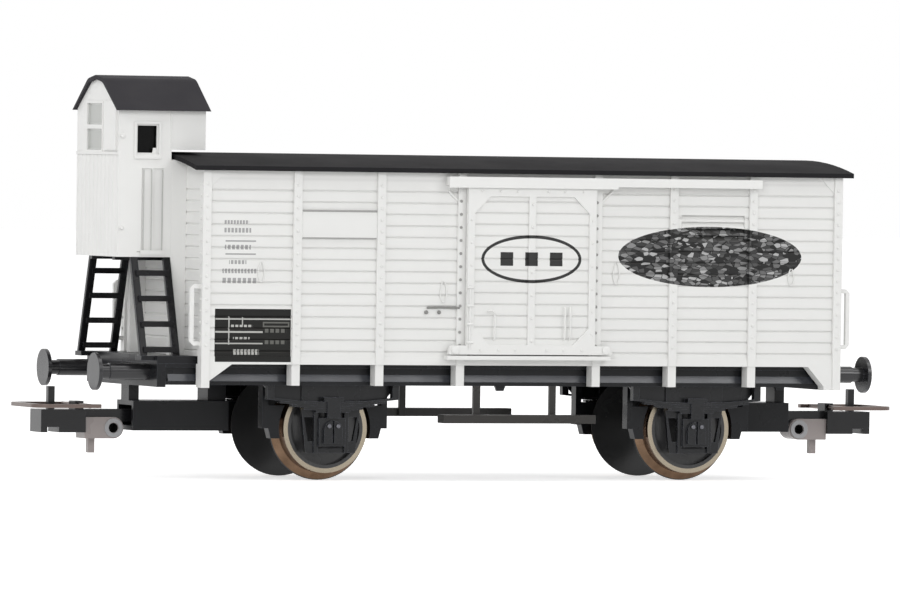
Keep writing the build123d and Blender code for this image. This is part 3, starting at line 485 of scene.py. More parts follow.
field_stretch = 2.2         # the fields are that much lower than wide
hedge_half = 0.045          # as a share of a field
hedge_black = (0.012, 0.012, 0.012, 1)
field_greys = (
    # from this share of the fields on, grey
    (0.0, 0.015),
    (0.25, 0.04),
    (0.45, 0.08),
    (0.62, 0.14),
    (0.78, 0.24),
    (0.9, 0.42),
)
fields_group, given, result = shader_group(
    "printed_fields",
    (("Vector", "Vector", (0, 0, 0)), ("Centre", "Vector", (0, 0, 0)), ("Half Size", "Vector", (1, 1, 1)),
     ("Field Scale", "Float", 1050.0)),
    (("Mask", "Float"), ("Colour", "Color")))
split = split_node(fields_group, given["Vector"])
on_face = sum_node(fields_group, "LESS_THAN", split["Y"], -face_depth)
stretched = sum_node(fields_group, "MULTIPLY", split["Z"], field_stretch)
flat_place = feed(fields_group, fields_group.nodes.new("ShaderNodeCombineXYZ"),
                  {"X": split["X"], "Z": stretched})
offset = vector_node(fields_group, "SUBTRACT", given["Vector"], given["Centre"])
reach = reach_node(fields_group, vector_node(fields_group, "DIVIDE", offset, given["Half Size"]))
within = sum_node(fields_group, "LESS_THAN", reach, 1.0)
cells = fields_group.nodes.new("ShaderNodeTexVoronoi")
hedges = fields_group.nodes.new("ShaderNodeTexVoronoi")
hedges.feature = "DISTANCE_TO_EDGE"
for pattern in (cells, hedges):
    feed(fields_group, pattern, {"Vector": flat_place.outputs[0], "Scale": given["Field Scale"]})
greys = fields_group.nodes.new("ShaderNodeValToRGB")
greys.color_ramp.interpolation = "CONSTANT"
for position, grey in field_greys:
    stop = greys.color_ramp.elements.new(position)
    stop.color = (grey, grey, grey, 1)
tones = feed(fields_group, fields_group.nodes.new("ShaderNodeSeparateColor"), {0: cells.outputs["Color"]})
feed(fields_group, greys, {0: tones.outputs[0]})
on_hedge = sum_node(fields_group, "LESS_THAN", hedges.outputs["Distance"], hedge_half)
feed(fields_group, result, {
    "Mask": sum_node(fields_group, "MULTIPLY", within, on_face),
    "Colour": blend_node(fields_group, on_hedge, greys.outputs[0], hedge_black)})


def side_place(material, side):
    """Coordinates from the middle of the body, x to the right as seen from outside that side."""
    tree = material.node_tree
    place = tree.nodes.new("ShaderNodeTexCoord")
    mapped = feed(tree, tree.nodes.new("ShaderNodeMapping"), {
        "Vector": place.outputs["Object"], "Location": (side * body_middle, 0, 0),
        "Rotation": (0, 0, 0 if side < 0 else pi)})
    return mapped.outputs[0]


def lay_print_and_painted_light(material, mask, colour):
    """Puts a colour over what the material's dust lies on: print, and also painted shade and painted
    reflection.
    """
    tree = material.node_tree
    dust_step = tree.nodes["settled_dust"]
    under = dust_step.inputs["Colour"].links[0].from_socket
    feed(tree, dust_step, {"Colour": blend_node(tree, mask, under, colour)})


def patch_mask(tree, place, left, right, bottom, top):
    """1 inside a rectangle, in millimetres from the middle of the body and above the flange tips."""
    patch = use_group(tree, patch_group, {
        "Vector": place, "Left": left * MM, "Right": right * MM, "Low": bottom * MM, "High": top * MM})
    return patch.outputs["Mask"]


def print_patch(material, place, colour, left, right, bottom, top, pitch=None):
    """A printed rectangle, or a row of dashes at a pitch."""
    dash_gap = 0.32     # as a share of the pitch
    tree = material.node_tree
    mask = patch_mask(tree, place, left, right, bottom, top)
    if pitch:
        run = sum_node(tree, "FRACT", sum_node(tree, "DIVIDE", split_node(tree, place)["X"], pitch * MM))
        mask = sum_node(tree, "MULTIPLY", mask, sum_node(tree, "GREATER_THAN", run, dash_gap))
    lay_print_and_painted_light(material, mask, (*colour, 1))


wall_joint = 17.05 * MM
door_joint = 18.9 * MM
wall_skin = 0.1 * MM
door_frame_plane = 16.4 * MM
flap_edges = (-31.5, -21.2, 32.0, 35.4)     # left, right, foot and top
# Painted grey shade along the joints of the boards:
joint_pitch = 1.5 * MM
joint_shade_reach = 0.22     # as a share of the pitch
joint_shade_strength = 0.85           # strength at the joint itself, over the reach
joint_noise_scale = 260.0
joint_shade_grey = (0.42, 0.42, 0.41, 1)


def joint_painted_shade(material, place, joint_start, deepest):
    """Painted grey shade along every joint between two boards, not on what stands out past them or on the
    flap.
    """
    tree = material.node_tree
    split = split_node(tree, place)
    above = sum_node(tree, "SUBTRACT", split["Z"], joint_start)
    share = sum_node(tree, "FRACT", sum_node(tree, "DIVIDE", above, joint_pitch))
    near_joint = sum_node(tree, "ABSOLUTE", sum_node(tree, "SUBTRACT", share, 0.5))
    close = sum_node(tree, "SUBTRACT", near_joint, 0.5 - joint_shade_reach)
    held = sum_node(tree, "MAXIMUM", sum_node(tree, "MULTIPLY", close, joint_shade_strength))
    broken = sum_node(tree, "MULTIPLY", held,
                      sum_node(tree, "ADD", noise_node(tree, joint_noise_scale, 3), 0.5))
    off_flap = sum_node(tree, "SUBTRACT", 1.0, patch_mask(tree, place, *flap_edges))
    on_boards = sum_node(tree, "GREATER_THAN", split["Y"], -deepest)
    kept = sum_node(tree, "MULTIPLY", broken, sum_node(tree, "MULTIPLY", off_flap, on_boards))
    lay_print_and_painted_light(material, kept, joint_shade_grey)


panel_black = (0.008, 0.008, 0.007)
panel_rule = (0.45, 0.45, 0.43)
faint_rule = (0.36, 0.36, 0.36)
dim_rule = (0.12, 0.12, 0.11)
side_print = (
    # colour, left, right, bottom, top, and the pitch of the dashes where it is a row of them
    (panel_black, -43.46, -32.9, 15.66, 22.57),
    (panel_rule, -43.4, -32.9, 21.16, 21.34),
    (panel_rule, -43.4, -36.8, 19.45, 19.68),
    (panel_rule, -43.4, -36.8, 17.98, 18.15),
    (panel_rule, -41.58, -41.42, 17.9, 21.6),
    (panel_rule, -39.7, -39.55, 20.4, 21.5),
    (panel_rule, -36.6, -33.5, 20.35, 20.55),
    (dim_rule, -36.8, -33.1, 20.2, 20.9),
    (panel_black, -36.6, -33.3, 20.4, 20.7),
    (faint_rule, -42.3, -38.9, 33.6, 34.1, 0.42),
    (faint_rule, -42.3, -38.6, 32.5, 33.1, 0.5),
    (faint_rule, -42.6, -37.9, 31.3, 31.5, 9.0),
    (faint_rule, -42.2, -38.6, 30.3, 30.9, 0.6),
    (faint_rule, -42.6, -37.9, 29.6, 29.8, 9.0),
    (faint_rule, -41.6, -39.2, 28.4, 28.9, 0.5),
    (faint_rule, -42.5, -37.8, 27.2, 27.8, 0.45),
    (faint_rule, -42.6, -37.6, 25.9, 26.6, 0.7),
    (panel_rule, -41.0, -37.3, 16.6, 17.3, 0.5),
    (dim_rule, -36.5, -33.5, 19.5, 20.0, 0.75),
    (dim_rule, -36.5, -33.5, 18.0, 18.5, 0.75),
    (panel_rule, -41.2, -38.2, 20.2, 20.5, 0.6),
    (panel_rule, -40.9, -38.6, 18.6, 18.9, 0.6),
)
fields_middle = (26.4 * MM, 0, 29.9 * MM)
fields_half = (13.2 * MM, 1, 4.0 * MM)
printed_frames = {}
for side_name, side in SIDES:
    white_boards = moulded(f"white_boards_{side_name}", colour=WHITE, roughness=0.42,
                           wear_glint_colour=(0.86, 0.86, 0.85), wear_glint=0.3, dust=0.1, specular=0.22)
    white_frame = moulded(f"white_frame_{side_name}", colour=WHITE, roughness=0.40,
                          wear_glint_colour=(0.88, 0.88, 0.87), wear_glint=0.3, dust=0.1, specular=0.22)
    for material in (white_boards, white_frame):
        place = side_place(material, side)
        if material is white_boards:
            joint_painted_shade(material, place, wall_joint, -wall_face + wall_skin)
        for colour, *row in side_print:
            print_patch(material, place, colour, *row)
        fields = use_group(material.node_tree, fields_group, {
            "Vector": place, "Centre": fields_middle, "Half Size": fields_half})
        lay_print_and_painted_light(material, fields.outputs["Mask"], fields.outputs["Colour"])
    dress(white_boards, f"side_wall_{side_name}")
    dress(white_frame, f"side_frame_{side_name}")
    printed_frames[side_name] = white_frame

# End walls: the same white boards without print, between corner posts and two deep stanchions, and
# the flat grab handles at the corners.
white_plastic = moulded("white_plastic", colour=WHITE, roughness=0.41, wear_glint_colour=(0.87, 0.87, 0.86),
                        wear_glint=0.3, dust=0.1, specular=0.3)
for end_name, end in ENDS:
    dress(white_plastic, f"end_wall_{end_name}", f"end_frame_{end_name}", f"grab_handles_{end_name}")

# Bolt heads that hold the boards to the posts: one to each board on every post of the sides, on the corner
# posts and on the stanchions, moulded on in white. Those of the door posts stand a little further apart and
# are grey, a painted shade round them.
bolt_radius = 0.2 * MM
bolt_height = 0.09 * MM
board_pitch = 1.5 * MM
first_bolt = 17.8 * MM
bolt_count = 15
bolt_rows = [first_bolt + number * board_pitch for number in range(bolt_count)]
side_posts = (-32.2, -20.5, 21.05, 32.5)
corner_inset = 0.6 * MM
end_overhang = 1.3 * MM
side_turn = Matrix.Translation((2 * body_middle, 0, 0)) @ half_turn

bolt = bolt_pattern("bolt_pattern", bolt_radius, bolt_height)
post_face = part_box("side_frame_near")[0][1]
roof_low, roof_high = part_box("roof")
brake_corner = roof_low[0] + end_overhang
plain_corner = roof_high[0] - end_overhang
post_columns = [body_middle + post * MM for post in side_posts]
post_columns += [brake_corner + corner_inset, plain_corner - corner_inset]
bolt_places = [Matrix.Translation((column, post_face, row)) for column in post_columns for row in bolt_rows]
seat_pair(set_out(bolt, bolt_places, "post_bolts_near"), "post_bolts", printed_frames["near"],
          side_turn, far_material=printed_frames["far"])


def side_spot(across, depth, height):
    """A place on the near side, across from the body's middle and up in millimetres, deep in metres."""
    return body_middle + across * MM, depth, height * MM


door_posts = (-9.35, 9.95)
door_post_foot = 18.0
door_post_pitch = 1.72
door_post_count = 12
# The grey of the door-post bolts is painted shade.
door_bolt_painted_shade = moulded("door_bolt_painted_shade", colour=(0.30, 0.30, 0.29), roughness=0.45, wear_glint_colour=(0.6, 0.6, 0.6),
                    wear_glint=0.3, dust=0.1)
bolt_places = [Matrix.Translation(side_spot(post, post_face, door_post_foot + number * door_post_pitch))
               for post in door_posts for number in range(door_post_count)]
seat_pair(set_out(bolt, bolt_places, "door_post_bolts_near"), "door_post_bolts", door_bolt_painted_shade,
          side_turn)

stanchion_place = 7.7 * MM
corner_place = 15.0 * MM
quarter_turn = Matrix.Rotation(pi / 2, 4, "Z")


def end_columns(face, reach, turned):
    """A column of bolt places on each side of an end, facing outwards."""
    return [Matrix.Translation((face, side * reach, row)) @ turned
            for name, side in SIDES for row in bolt_rows]


bolt_places = end_columns(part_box("end_frame_plain")[1][0], stanchion_place, quarter_turn)
bolt_places += end_columns(plain_corner, corner_place, quarter_turn)
seat(set_out(bolt, bolt_places, "end_bolts_plain"), "end_bolts_plain", white_plastic, "wagon")
bolt_places = end_columns(brake_corner, corner_place, quarter_turn.inverted())
seat(set_out(bolt, bolt_places, "end_bolts_brake"), "end_bolts_brake", white_plastic, "wagon")

# Lashing rings on the boards: short bent irons that hang from an eye, moulded on in white. There are
# four on each side.
ring_radius = 0.09 * MM
ring_half = 0.32
ring_neck = 0.3         # half the gap at the top, as a share of the ring's half width
ring_shoulder = 0.6
ring_bow = 0.4
board_face = wall_face + 0.2 * MM
ring_depth = board_face - ring_radius
lashing_rings = (
    # middle, top, bottom
    (-37.15, 28.7, 26.1),
    (-11.6, 26.4, 23.6),
    (12.9, 29.0, 26.2),
    (38.1, 28.4, 26.2),
)


def rod(name, points, radius):
    """A round rod bent through a few points, made a mesh with closed ends."""
    bpy.ops.curve.primitive_bezier_curve_add()
    bar = bpy.context.object
    bar.name = name
    line = bar.data.splines[0]
    line.bezier_points.add(len(points) - 2)
    for point, place in zip(line.bezier_points, points):
        point.handle_left_type = "AUTO"
        point.handle_right_type = "AUTO"
        point.co = place
    bar.data.resolution_u = 3
    bar.data.bevel_depth = radius
    bar.data.bevel_resolution = 2
    bar.data.use_fill_caps = True
    bpy.ops.object.convert(target="MESH")
    bar = bpy.context.object
    bpy.ops.object.transform_apply(location=True, rotation=True, scale=True)
    face_outwards(bar)
    bpy.ops.object.select_all(action="DESELECT")
    return bar


rings = []
for middle, top, bottom in lashing_rings:
    outline = (
        # share of the half width, height
        (-ring_neck, top),
        (-1, top - ring_shoulder),
        (-1, bottom + ring_bow),
        (0, bottom),
        (1, bottom + ring_bow),
        (1, top - ring_shoulder),
        (ring_neck, top),
    )
    rings.append(rod("lashing_ring", [side_spot(middle + share * ring_half, ring_depth, height)
                                      for share, height in outline], ring_radius))
seat_pair(join_pieces(rings[0], rings[1:]), "lashing_rings", white_plastic, side_turn)

# Door-post knees: a short slanted knee beside the head of each door post, moulded on the wall in
# white.
knee_lines = (
    # from along, height to along, height, radius
    (-11.1, 38.3, -9.75, 37.0, 0.16),
    (12.4, 38.6, 10.7, 37.0, 0.16),
)


def straight_rods(name, lines, depth, start=body_middle):
    """Straight rods at one depth along the near side, in one piece."""
    rods = []
    for x0, z0, x1, z1, radius in lines:
        points = ((x0, z0), ((x0 + x1) / 2, (z0 + z1) / 2), (x1, z1))
        rods.append(rod(name, [(start + x * MM, depth, z * MM) for x, z in points], radius * MM))
    return join_pieces(rods[0], rods[1:])


knee_depth = board_face - 0.1 * MM
seat_pair(straight_rods("knee", knee_lines, knee_depth), "door_knees", white_plastic, side_turn)

# Rods of the vent flap: it hangs from a hinge rod at its top and has a thinner catch rod at its foot.
# Both are moulded on the wall, in grey for the shadow round them.
flap_lines = (
    # from along, height to along, height, radius
    (-31.5, 35.45, -21.2, 35.45, 0.13),
    (-31.5, 31.9, -21.2, 31.9, 0.08),
)
flap_rod_depth = board_face - 0.2 * MM
flap_grey = moulded("flap_grey", colour=(0.34, 0.34, 0.33), roughness=0.45, wear_glint_colour=(0.6, 0.6, 0.6),
                    wear_glint=0.3, dust=0.1)
flap_rods = straight_rods("flap_rod", flap_lines, flap_rod_depth)
seat_pair(flap_rods, "flap_rods", flap_grey, side_turn)

# Main roof: one thin arched moulding in matt dark grey plastic. It is laid over the walls and stands
# a little past them at both ends.
roof_plastic = moulded("roof_plastic", colour=(0.02, 0.0195, 0.021), roughness=0.8,
                       wear_glint_colour=(0.1, 0.1, 0.105), wear_glint=0.3, dust=0.03, specular=0.06)
dress(roof_plastic, "roof")

# Sliding doors: boards in a frame with gusseted corners, hung from the upper rail. The printed
# emblem is a plain oval ring round three small squares.
ring_group, given, result = shader_group(
    "printed_ring",
    (("Vector", "Vector", (0, 0, 0)), ("Centre", "Vector", (0, 0, 0)), ("Half Size", "Vector", (1, 1, 1)),
     ("Inner Half Size", "Vector", (1, 1, 1))),
    (("Mask", "Float"),))
offset = vector_node(ring_group, "SUBTRACT", given["Vector"], given["Centre"])
on_ring = sum_node(ring_group, "LESS_THAN", split_node(ring_group, given["Vector"])["Y"], -face_depth)
for operation, size in (("LESS_THAN", "Half Size"), ("GREATER_THAN", "Inner Half Size")):
    reach = reach_node(ring_group, vector_node(ring_group, "DIVIDE", offset, given[size]))
    on_ring = sum_node(ring_group, "MULTIPLY", on_ring, sum_node(ring_group, operation, reach, 1.0))
feed(ring_group, result, {"Mask": on_ring})

emblem_colour = (0.03, 0.03, 0.03)
emblem_across, emblem_height = 0.45, 29.4
emblem_half = (7.1, 3.15)
emblem_line = 0.42
emblem_squares = (-3.5, 0.0, 3.5)
square_half = 0.9
for side_name, side in SIDES:
    white_door = moulded(f"white_door_{side_name}", colour=WHITE, roughness=0.41,
                         wear_glint_colour=(0.88, 0.88, 0.87), wear_glint=0.3, dust=0.1, specular=0.22)
    place = side_place(white_door, side)
    joint_painted_shade(white_door, place, door_joint, door_frame_plane)
    printed = use_group(white_door.node_tree, ring_group, {
        "Vector": place, "Centre": (emblem_across * MM, 0, emblem_height * MM),
        "Half Size": (emblem_half[0] * MM, 1, emblem_half[1] * MM),
        "Inner Half Size": ((emblem_half[0] - emblem_line) * MM, 1, (emblem_half[1] - emblem_line) * MM)})
    lay_print_and_painted_light(white_door, printed.outputs["Mask"], (*emblem_colour, 1))
    for across in emblem_squares:
        middle = emblem_across + across
        print_patch(white_door, place, emblem_colour, middle - square_half, middle + square_half,
                    emblem_height - square_half, emblem_height + square_half)
    dress(white_door, f"door_{side_name}")
    dress(white_plastic, f"door_rails_{side_name}")

# Door fittings: bolt heads on the frame and the middle stile, grab irons near the foot, the locking
# rod in its clasps on the left stile, and the bosses of the lower rollers, moulded on the door.
door_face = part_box("door_near")[0][1]
door_middle = 0.45
door_bolt_pitch = 3.0
stile_bolt_foot, stile_bolt_count = 18.6, 7
frame_bolt_foot, frame_bolt_count = 19.5, 6
frame_bolt_columns = (-8.6, 8.6)
rail_bolts = (-7.2, -4.6, -2.2, 2.2, 4.6, 7.2)
rail_heights = (17.4, 38.3)
door_bolts = [(0.0, stile_bolt_foot + number * door_bolt_pitch) for number in range(stile_bolt_count)]
door_bolts += [(across, height) for across in rail_bolts for height in rail_heights]
door_bolts += [(across, frame_bolt_foot + number * door_bolt_pitch)
               for across in frame_bolt_columns for number in range(frame_bolt_count)]
small_bolt = bolt_pattern("small_bolt_pattern", radius=0.16 * MM, height=0.1 * MM)
bolt_places = [Matrix.Translation(side_spot(door_middle + across, door_face, height))
               for across, height in door_bolts]

iron_radius = 0.12 * MM
iron_bend = 0.35
iron_root = door_face + 0.1 * MM
iron_depth = door_face - 0.1 * MM
upright_irons = (
    # across, foot, top
    (-4.75, 18.7, 22.1),
    (5.2, 18.8, 23.1),
    (5.95, 18.8, 23.1),
)
cross_iron = (
    # across, height
    (-5.85, 22.5),
    (-5.3, 22.6),
    (-4.8, 22.3),
)
irons = []
for across, foot, top in upright_irons:
    irons.append(rod("grab_iron", [
        side_spot(across, iron_root, foot), side_spot(across, iron_depth, foot + iron_bend),
        side_spot(across, iron_depth, (foot + top) / 2), side_spot(across, iron_depth, top - iron_bend),
        side_spot(across, iron_root, top)], iron_radius))
irons.append(rod("grab_iron", [side_spot(across, iron_depth, height) for across, height in cross_iron],
                 iron_radius))

lock_place = -8.3
lock_radius = 0.14 * MM
lock_heights = (17.6, 21.5, 26.0)
clasp_radius = 0.17 * MM
clasp_half = 0.45
clasp_bow = 0.05 * MM
clasp_heights = (18.4, 20.8, 23.2, 25.6)
for height in clasp_heights:
    irons.append(rod("lock_clasp", [
        side_spot(lock_place - clasp_half, iron_depth, height),
        side_spot(lock_place, iron_depth - clasp_bow, height),
        side_spot(lock_place + clasp_half, iron_depth, height)], clasp_radius))
irons.append(rod("lock_rod", [side_spot(lock_place, iron_depth, height) for height in lock_heights],
                 lock_radius))

boss_places = (-10.25, 11.15)
boss_height = 17.42
boss = bolt_pattern("boss_pattern", radius=0.6 * MM, height=0.14 * MM)
bosses = set_out(boss, [Matrix.Translation(side_spot(across, door_face, boss_height))
                        for across in boss_places], "roller_bosses")
door_fittings = set_out(small_bolt, bolt_places, "door_fittings_near")
join_pieces(door_fittings, [*irons, bosses])
seat_pair(door_fittings, "door_fittings", white_plastic, side_turn,
          bodies=("door_near", "door_far"))

# Door catch on the body: a grey bar, bent a little, that the locking rod drops behind. It lies on two
# knobs moulded on the boards.
catch_radius = 0.14 * MM
catch_depth = board_face - 0.15 * MM
catch_points = (
    # across, depth, height
    (-13.9, catch_depth, 22.9),
    (-11.5, catch_depth, 22.95),
    (-9.4, post_face, 22.9),
)
knob_places = (-14.0, -12.2)
knob_height = 22.3
catch_bar = rod("catch", [side_spot(*point) for point in catch_points], catch_radius)
knob = bolt_pattern("knob_pattern", radius=0.26 * MM, height=0.22 * MM)
catch = set_out(knob, [Matrix.Translation(side_spot(across, board_face, knob_height))
                       for across in knob_places], "door_catch_near")
catch_paint = moulded("catch_paint", colour=(0.22, 0.22, 0.21), roughness=0.4,
                      wear_glint_colour=(0.5, 0.5, 0.5), wear_glint=0.4, dust=0.1)
seat_pair(join_pieces(catch, [catch_bar]), "door_catch", catch_paint, side_turn)

# Cab: walls and moulded doors in the body's white, panes behind the windows, and a dark grey folded roof. The
# walls are near black inside, a painted shade of the unlit cab; the side panes are near black too, as painted
# shade, and the pane of the end window is a pale whitish grey, a painted reflection.
cab_plastic = moulded("cab_plastic", colour=WHITE, roughness=0.41, wear_glint_colour=(0.87, 0.87, 0.86),
                      wear_glint=0.3, dust=0.1, specular=0.3)
cab_low, cab_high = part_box("cab_walls")
cab_skin = 0.97 * MM
# The walls' inner faces are near black: painted shade of the unlit cab.
cab_painted_shade = (0.02, 0.02, 0.02, 1)
inner_group, given, result = shader_group(
    "inside_box",
    (("Vector", "Vector", (0, 0, 0)), ("Low", "Vector", (0, 0, 0)), ("High", "Vector", (0, 0, 0))),
    (("Mask", "Float"),))
split = split_node(inner_group, given["Vector"])
inside = 1.0
for operation, label in (("GREATER_THAN", "Low"), ("LESS_THAN", "High")):
    limits = split_node(inner_group, given[label])
    for axis in "XYZ":
        within = sum_node(inner_group, operation, split[axis], limits[axis])
        inside = sum_node(inner_group, "MULTIPLY", within, inside)
feed(inner_group, result, {"Mask": inside})


def inside_mask(material, low, high):
    """1 for what lies between two corners."""
    tree = material.node_tree
    place = tree.nodes.new("ShaderNodeTexCoord").outputs["Object"]
    return use_group(tree, inner_group, {"Vector": place, "Low": low, "High": high}).outputs["Mask"]


painted_shade_inside = inside_mask(cab_plastic, [value + cab_skin for value in cab_low],
                          [value - cab_skin for value in cab_high])
lay_print_and_painted_light(cab_plastic, painted_shade_inside, cab_painted_shade)
dress(cab_plastic, "cab_walls")
cab_roof_plastic = moulded("cab_roof_plastic", colour=(0.034, 0.0325, 0.037), roughness=0.7,
                           wear_glint_colour=(0.1, 0.1, 0.105), wear_glint=0.3, dust=0.03, specular=0.1)
dress(cab_roof_plastic, "cab_roof")

# The panes' near black is painted shade of the unlit cab, and the end pane's pale whitish grey is a painted
# reflection.
pane_plastic = moulded("pane_plastic", colour=(0.01, 0.01, 0.01), roughness=0.08,
                       wear_glint_colour=(0.02, 0.02, 0.02), wear_glint=0.1, dust=0.0)
pane_low, pane_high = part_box("cab_glazing")
pane_margin = 1.0 * MM
end_pane_depth = 0.4 * MM
pale_reflection_colour = (0.85, 0.85, 0.84, 1)
reflection_mask_end = inside_mask(
    pane_plastic, [value - pane_margin for value in pane_low],
    (pane_low[0] + end_pane_depth, pane_high[1] + pane_margin, pane_high[2] + pane_margin))
lay_print_and_painted_light(pane_plastic, reflection_mask_end, pale_reflection_colour)
feed(pane_plastic.node_tree, pane_plastic.node_tree.nodes["Principled BSDF"],
     {"Transmission Weight": 0.5, "IOR": 1.2})
dress(pane_plastic, "cab_glazing")

# Leaves of the end window: two panes above each other in a light grey plastic that is a painted reflection,
# each sunk a little in its own rim. They are set just inside the wall's face.
BRAKE_END = Vector((-1, 0, 0))
leaf_front = cab_low[0] + 0.3 * MM
leaf_back = cab_low[0] + 0.6 * MM
leaf_left, leaf_right = -1.88, 3.88
leaf_rim = 0.25 * MM
leaf_sunk = 0.12 * MM
leaf_heights = (
    # foot, top
    (46.3, 49.1),
    (43.0, 45.75),
)
leaf_reflection_paint = moulded("leaf_reflection_grey", colour=(0.46, 0.47, 0.45), roughness=0.2, wear_glint_colour=(0.6, 0.6, 0.6),
                  wear_glint=0.3, dust=0.0)
leaves = []
for foot, top in leaf_heights:
    leaf = solid_block("leaf", (leaf_front, leaf_left * MM, foot * MM),
                       (leaf_back, leaf_right * MM, top * MM))
    pick_faces(leaf, BRAKE_END)
    bpy.ops.mesh.inset(thickness=leaf_rim)
    bpy.ops.transform.translate(value=(leaf_sunk, 0, 0))
    bpy.ops.object.mode_set(mode="OBJECT")
    leaves.append(leaf)
seat(join_pieces(leaves[0], leaves[1:]), "end_window_leaf", leaf_reflection_paint, "wagon")

# Sashes of the cab's side windows: a thin white frame with a short tapered stay at its foot, moulded
# in the body's white, set just inside the wall's face.
mirror_turn = Matrix.Scale(-1, 4, (0, 1, 0))
sash_left, sash_right = -48.66, -45.55
sash_foot, sash_top = 42.49, 46.46
sash_front, sash_back = cab_low[1] + 0.35 * MM, cab_low[1] + 0.6 * MM
sash_rim = 0.22 * MM
stay_left, stay_right = -46.35, -45.7
stay_foot, stay_top = 42.6, 43.35
stay_front, stay_back = cab_low[1] + 0.38 * MM, cab_low[1] + 0.58 * MM
stay_share = 0.6        # what is left of its width at the top


def pierce(piece, rim):
    """Cuts a piece through along Y and leaves a rim."""
    pick_faces(piece, NEAR, FAR)
    bpy.ops.mesh.inset(thickness=rim)
    bpy.ops.mesh.bridge_edge_loops()
    bpy.ops.object.mode_set(mode="OBJECT")


sash = solid_block("sash_pattern", (sash_left * MM, sash_front, sash_foot * MM),
                   (sash_right * MM, sash_back, sash_top * MM))
pierce(sash, sash_rim)
stay = solid_block("stay", (stay_left * MM, stay_front, stay_foot * MM),
                   (stay_right * MM, stay_back, stay_top * MM))
taper(stay, UP, (stay_share, 1, 1))
seat_pair(join_pieces(sash, [stay]), "side_window_sash", cab_plastic, mirror_turn)

# Hinges of the cab's side doors: small knobs above each other near the end wall, and a slim batten
# where the upper part joins, moulded on in white.
cab_side = cab_low[1] + 0.2 * MM
hinge_place = cab_low[0] + 0.75 * MM
hinge_heights = (32.9, 44.9)
batten_place = cab_low[0] + 7.5 * MM
batten_heights = (43.4, 45.5, 48.0)
batten_radius = 0.12 * MM
hinge = bolt_pattern("hinge_pattern", radius=0.3 * MM, height=0.3 * MM)
hinges = set_out(hinge, [Matrix.Translation((hinge_place, cab_side, height * MM))
                         for height in hinge_heights], "cab_hinges_near")
batten = rod("batten", [(batten_place, cab_side, height * MM) for height in batten_heights], batten_radius)
seat_pair(join_pieces(hinges, [batten]), "cab_hinges", cab_plastic, mirror_turn)

# Beads of the cab's sides: thin grey lines, hardly raised, along the edges of the moulded door panel
# and under it. Their grey is that of the shadow in the grooves there.
bead_depth = -8.17 * MM
bead_lines = (
    # from along, height to along, height, radius
    (-47.55, 29.95, -47.55, 40.5, 0.07),
    (-46.45, 29.95, -46.45, 40.5, 0.07),
    (-44.95, 29.95, -44.95, 40.5, 0.07),
    (-48.4, 29.8, -44.85, 29.8, 0.07),
)
bead_grey = moulded("bead_grey", colour=(0.50, 0.50, 0.485), roughness=0.5, wear_glint_colour=(0.6, 0.6, 0.6),
                    wear_glint=0.3, dust=0.1)
beads = straight_rods("bead", bead_lines, bead_depth, start=0.0)
seat_pair(beads, "cab_beads", bead_grey, mirror_turn)

# Cab floor: a plate between the cab's walls on two flat bearers that run to the end wall, all in the
# frame's black plastic. The far bearer narrows a little downwards.
low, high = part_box("cab_floor")
plate_depth = 0.8 * MM
plate_gap = 1.6 * MM        # to the end wall
bearer_drop = 0.45 * MM
bearer_half = 0.5 * MM
bearer_reach = 4.5 * MM
bearer_top = high[2] - 0.64 * MM
bearer_foot = high[2] - plate_depth - bearer_drop
bearer_shares = (0.99, 0.85, 1)     # what is left of the far one's length and width at its foot
plate = solid_block("cab_floor_plate",
                    (low[0] + plate_depth, cab_low[1] + plate_depth, high[2] - plate_depth),
                    (high[0] - plate_gap, cab_high[1] - plate_depth, high[2]))
near_bearer, far_bearer = [
    solid_block("bearer", (low[0] + plate_depth, side * bearer_reach - bearer_half, bearer_foot),
                (high[0], side * bearer_reach + bearer_half, bearer_top))
    for side_name, side in SIDES]
taper(far_bearer, DOWN, bearer_shares)
join_pieces(plate, [near_bearer, far_bearer])
dress(black_plastic, "cab_floor")
seat(plate, "cab_floor_plate", black_plastic, "wagon")
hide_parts("cab_floor")

# Ladders: black stiles and treads from the deck up to the cab, one moulding on each side, in plastic
# that is glossier than the frame's.
ladder_plastic = moulded("ladder_plastic", colour=(0.007, 0.007, 0.008), roughness=0.26,
                         wear_glint_colour=(0.08, 0.08, 0.11), wear_glint=0.7, dust=0.04, specular=0.2)
dress(ladder_plastic, "ladder_near", "ladder_far")

# Ladder facings: the broader front of each stile, which leans as the ladder does, and the thick lip
# of each tread, moulded together with the ladder.
ladder_low, ladder_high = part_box("ladder_near")
foot_place, head_place = -12.15 * MM, -7.85 * MM
stile_inset = 0.35 * MM
stile_half = 0.48 * MM
stile_depth = 0.3 * MM
stile_short = 0.02 * MM
tread_lows = (16.9, 20.2, 23.5, 26.8)
tread_depth = 0.6 * MM
lip_under, lip_over = 0.14, 0.5
lip_share = 0.9         # what is left of its depth at the top
stile_places = (ladder_low[0] + stile_inset, ladder_high[0] - stile_inset)
facings = []
for place in stile_places:
    facing = solid_block("facing",
                         (place - stile_half, foot_place - stile_depth, ladder_low[2] + stile_short),
                         (place + stile_half, foot_place + stile_depth, ladder_high[2] - stile_short))
    pick_faces(facing, UP)
    bpy.ops.transform.translate(value=(0, head_place - foot_place, 0))
    bpy.ops.object.mode_set(mode="OBJECT")
    facings.append(facing)
for tread in tread_lows:
    share = (tread * MM - ladder_low[2]) / (ladder_high[2] - ladder_low[2])
    reach = foot_place + share * (head_place - foot_place)
    facing = solid_block("facing", (stile_places[0], reach - tread_depth, (tread - lip_under) * MM),
                         (stile_places[1], reach + tread_depth, (tread + lip_over) * MM))
    taper(facing, UP, (1, lip_share, 1))
    facings.append(facing)
join_pieces(facings[0], facings[1:])
seat_pair(facings[0], "ladder_facing", ladder_plastic, mirror_turn)

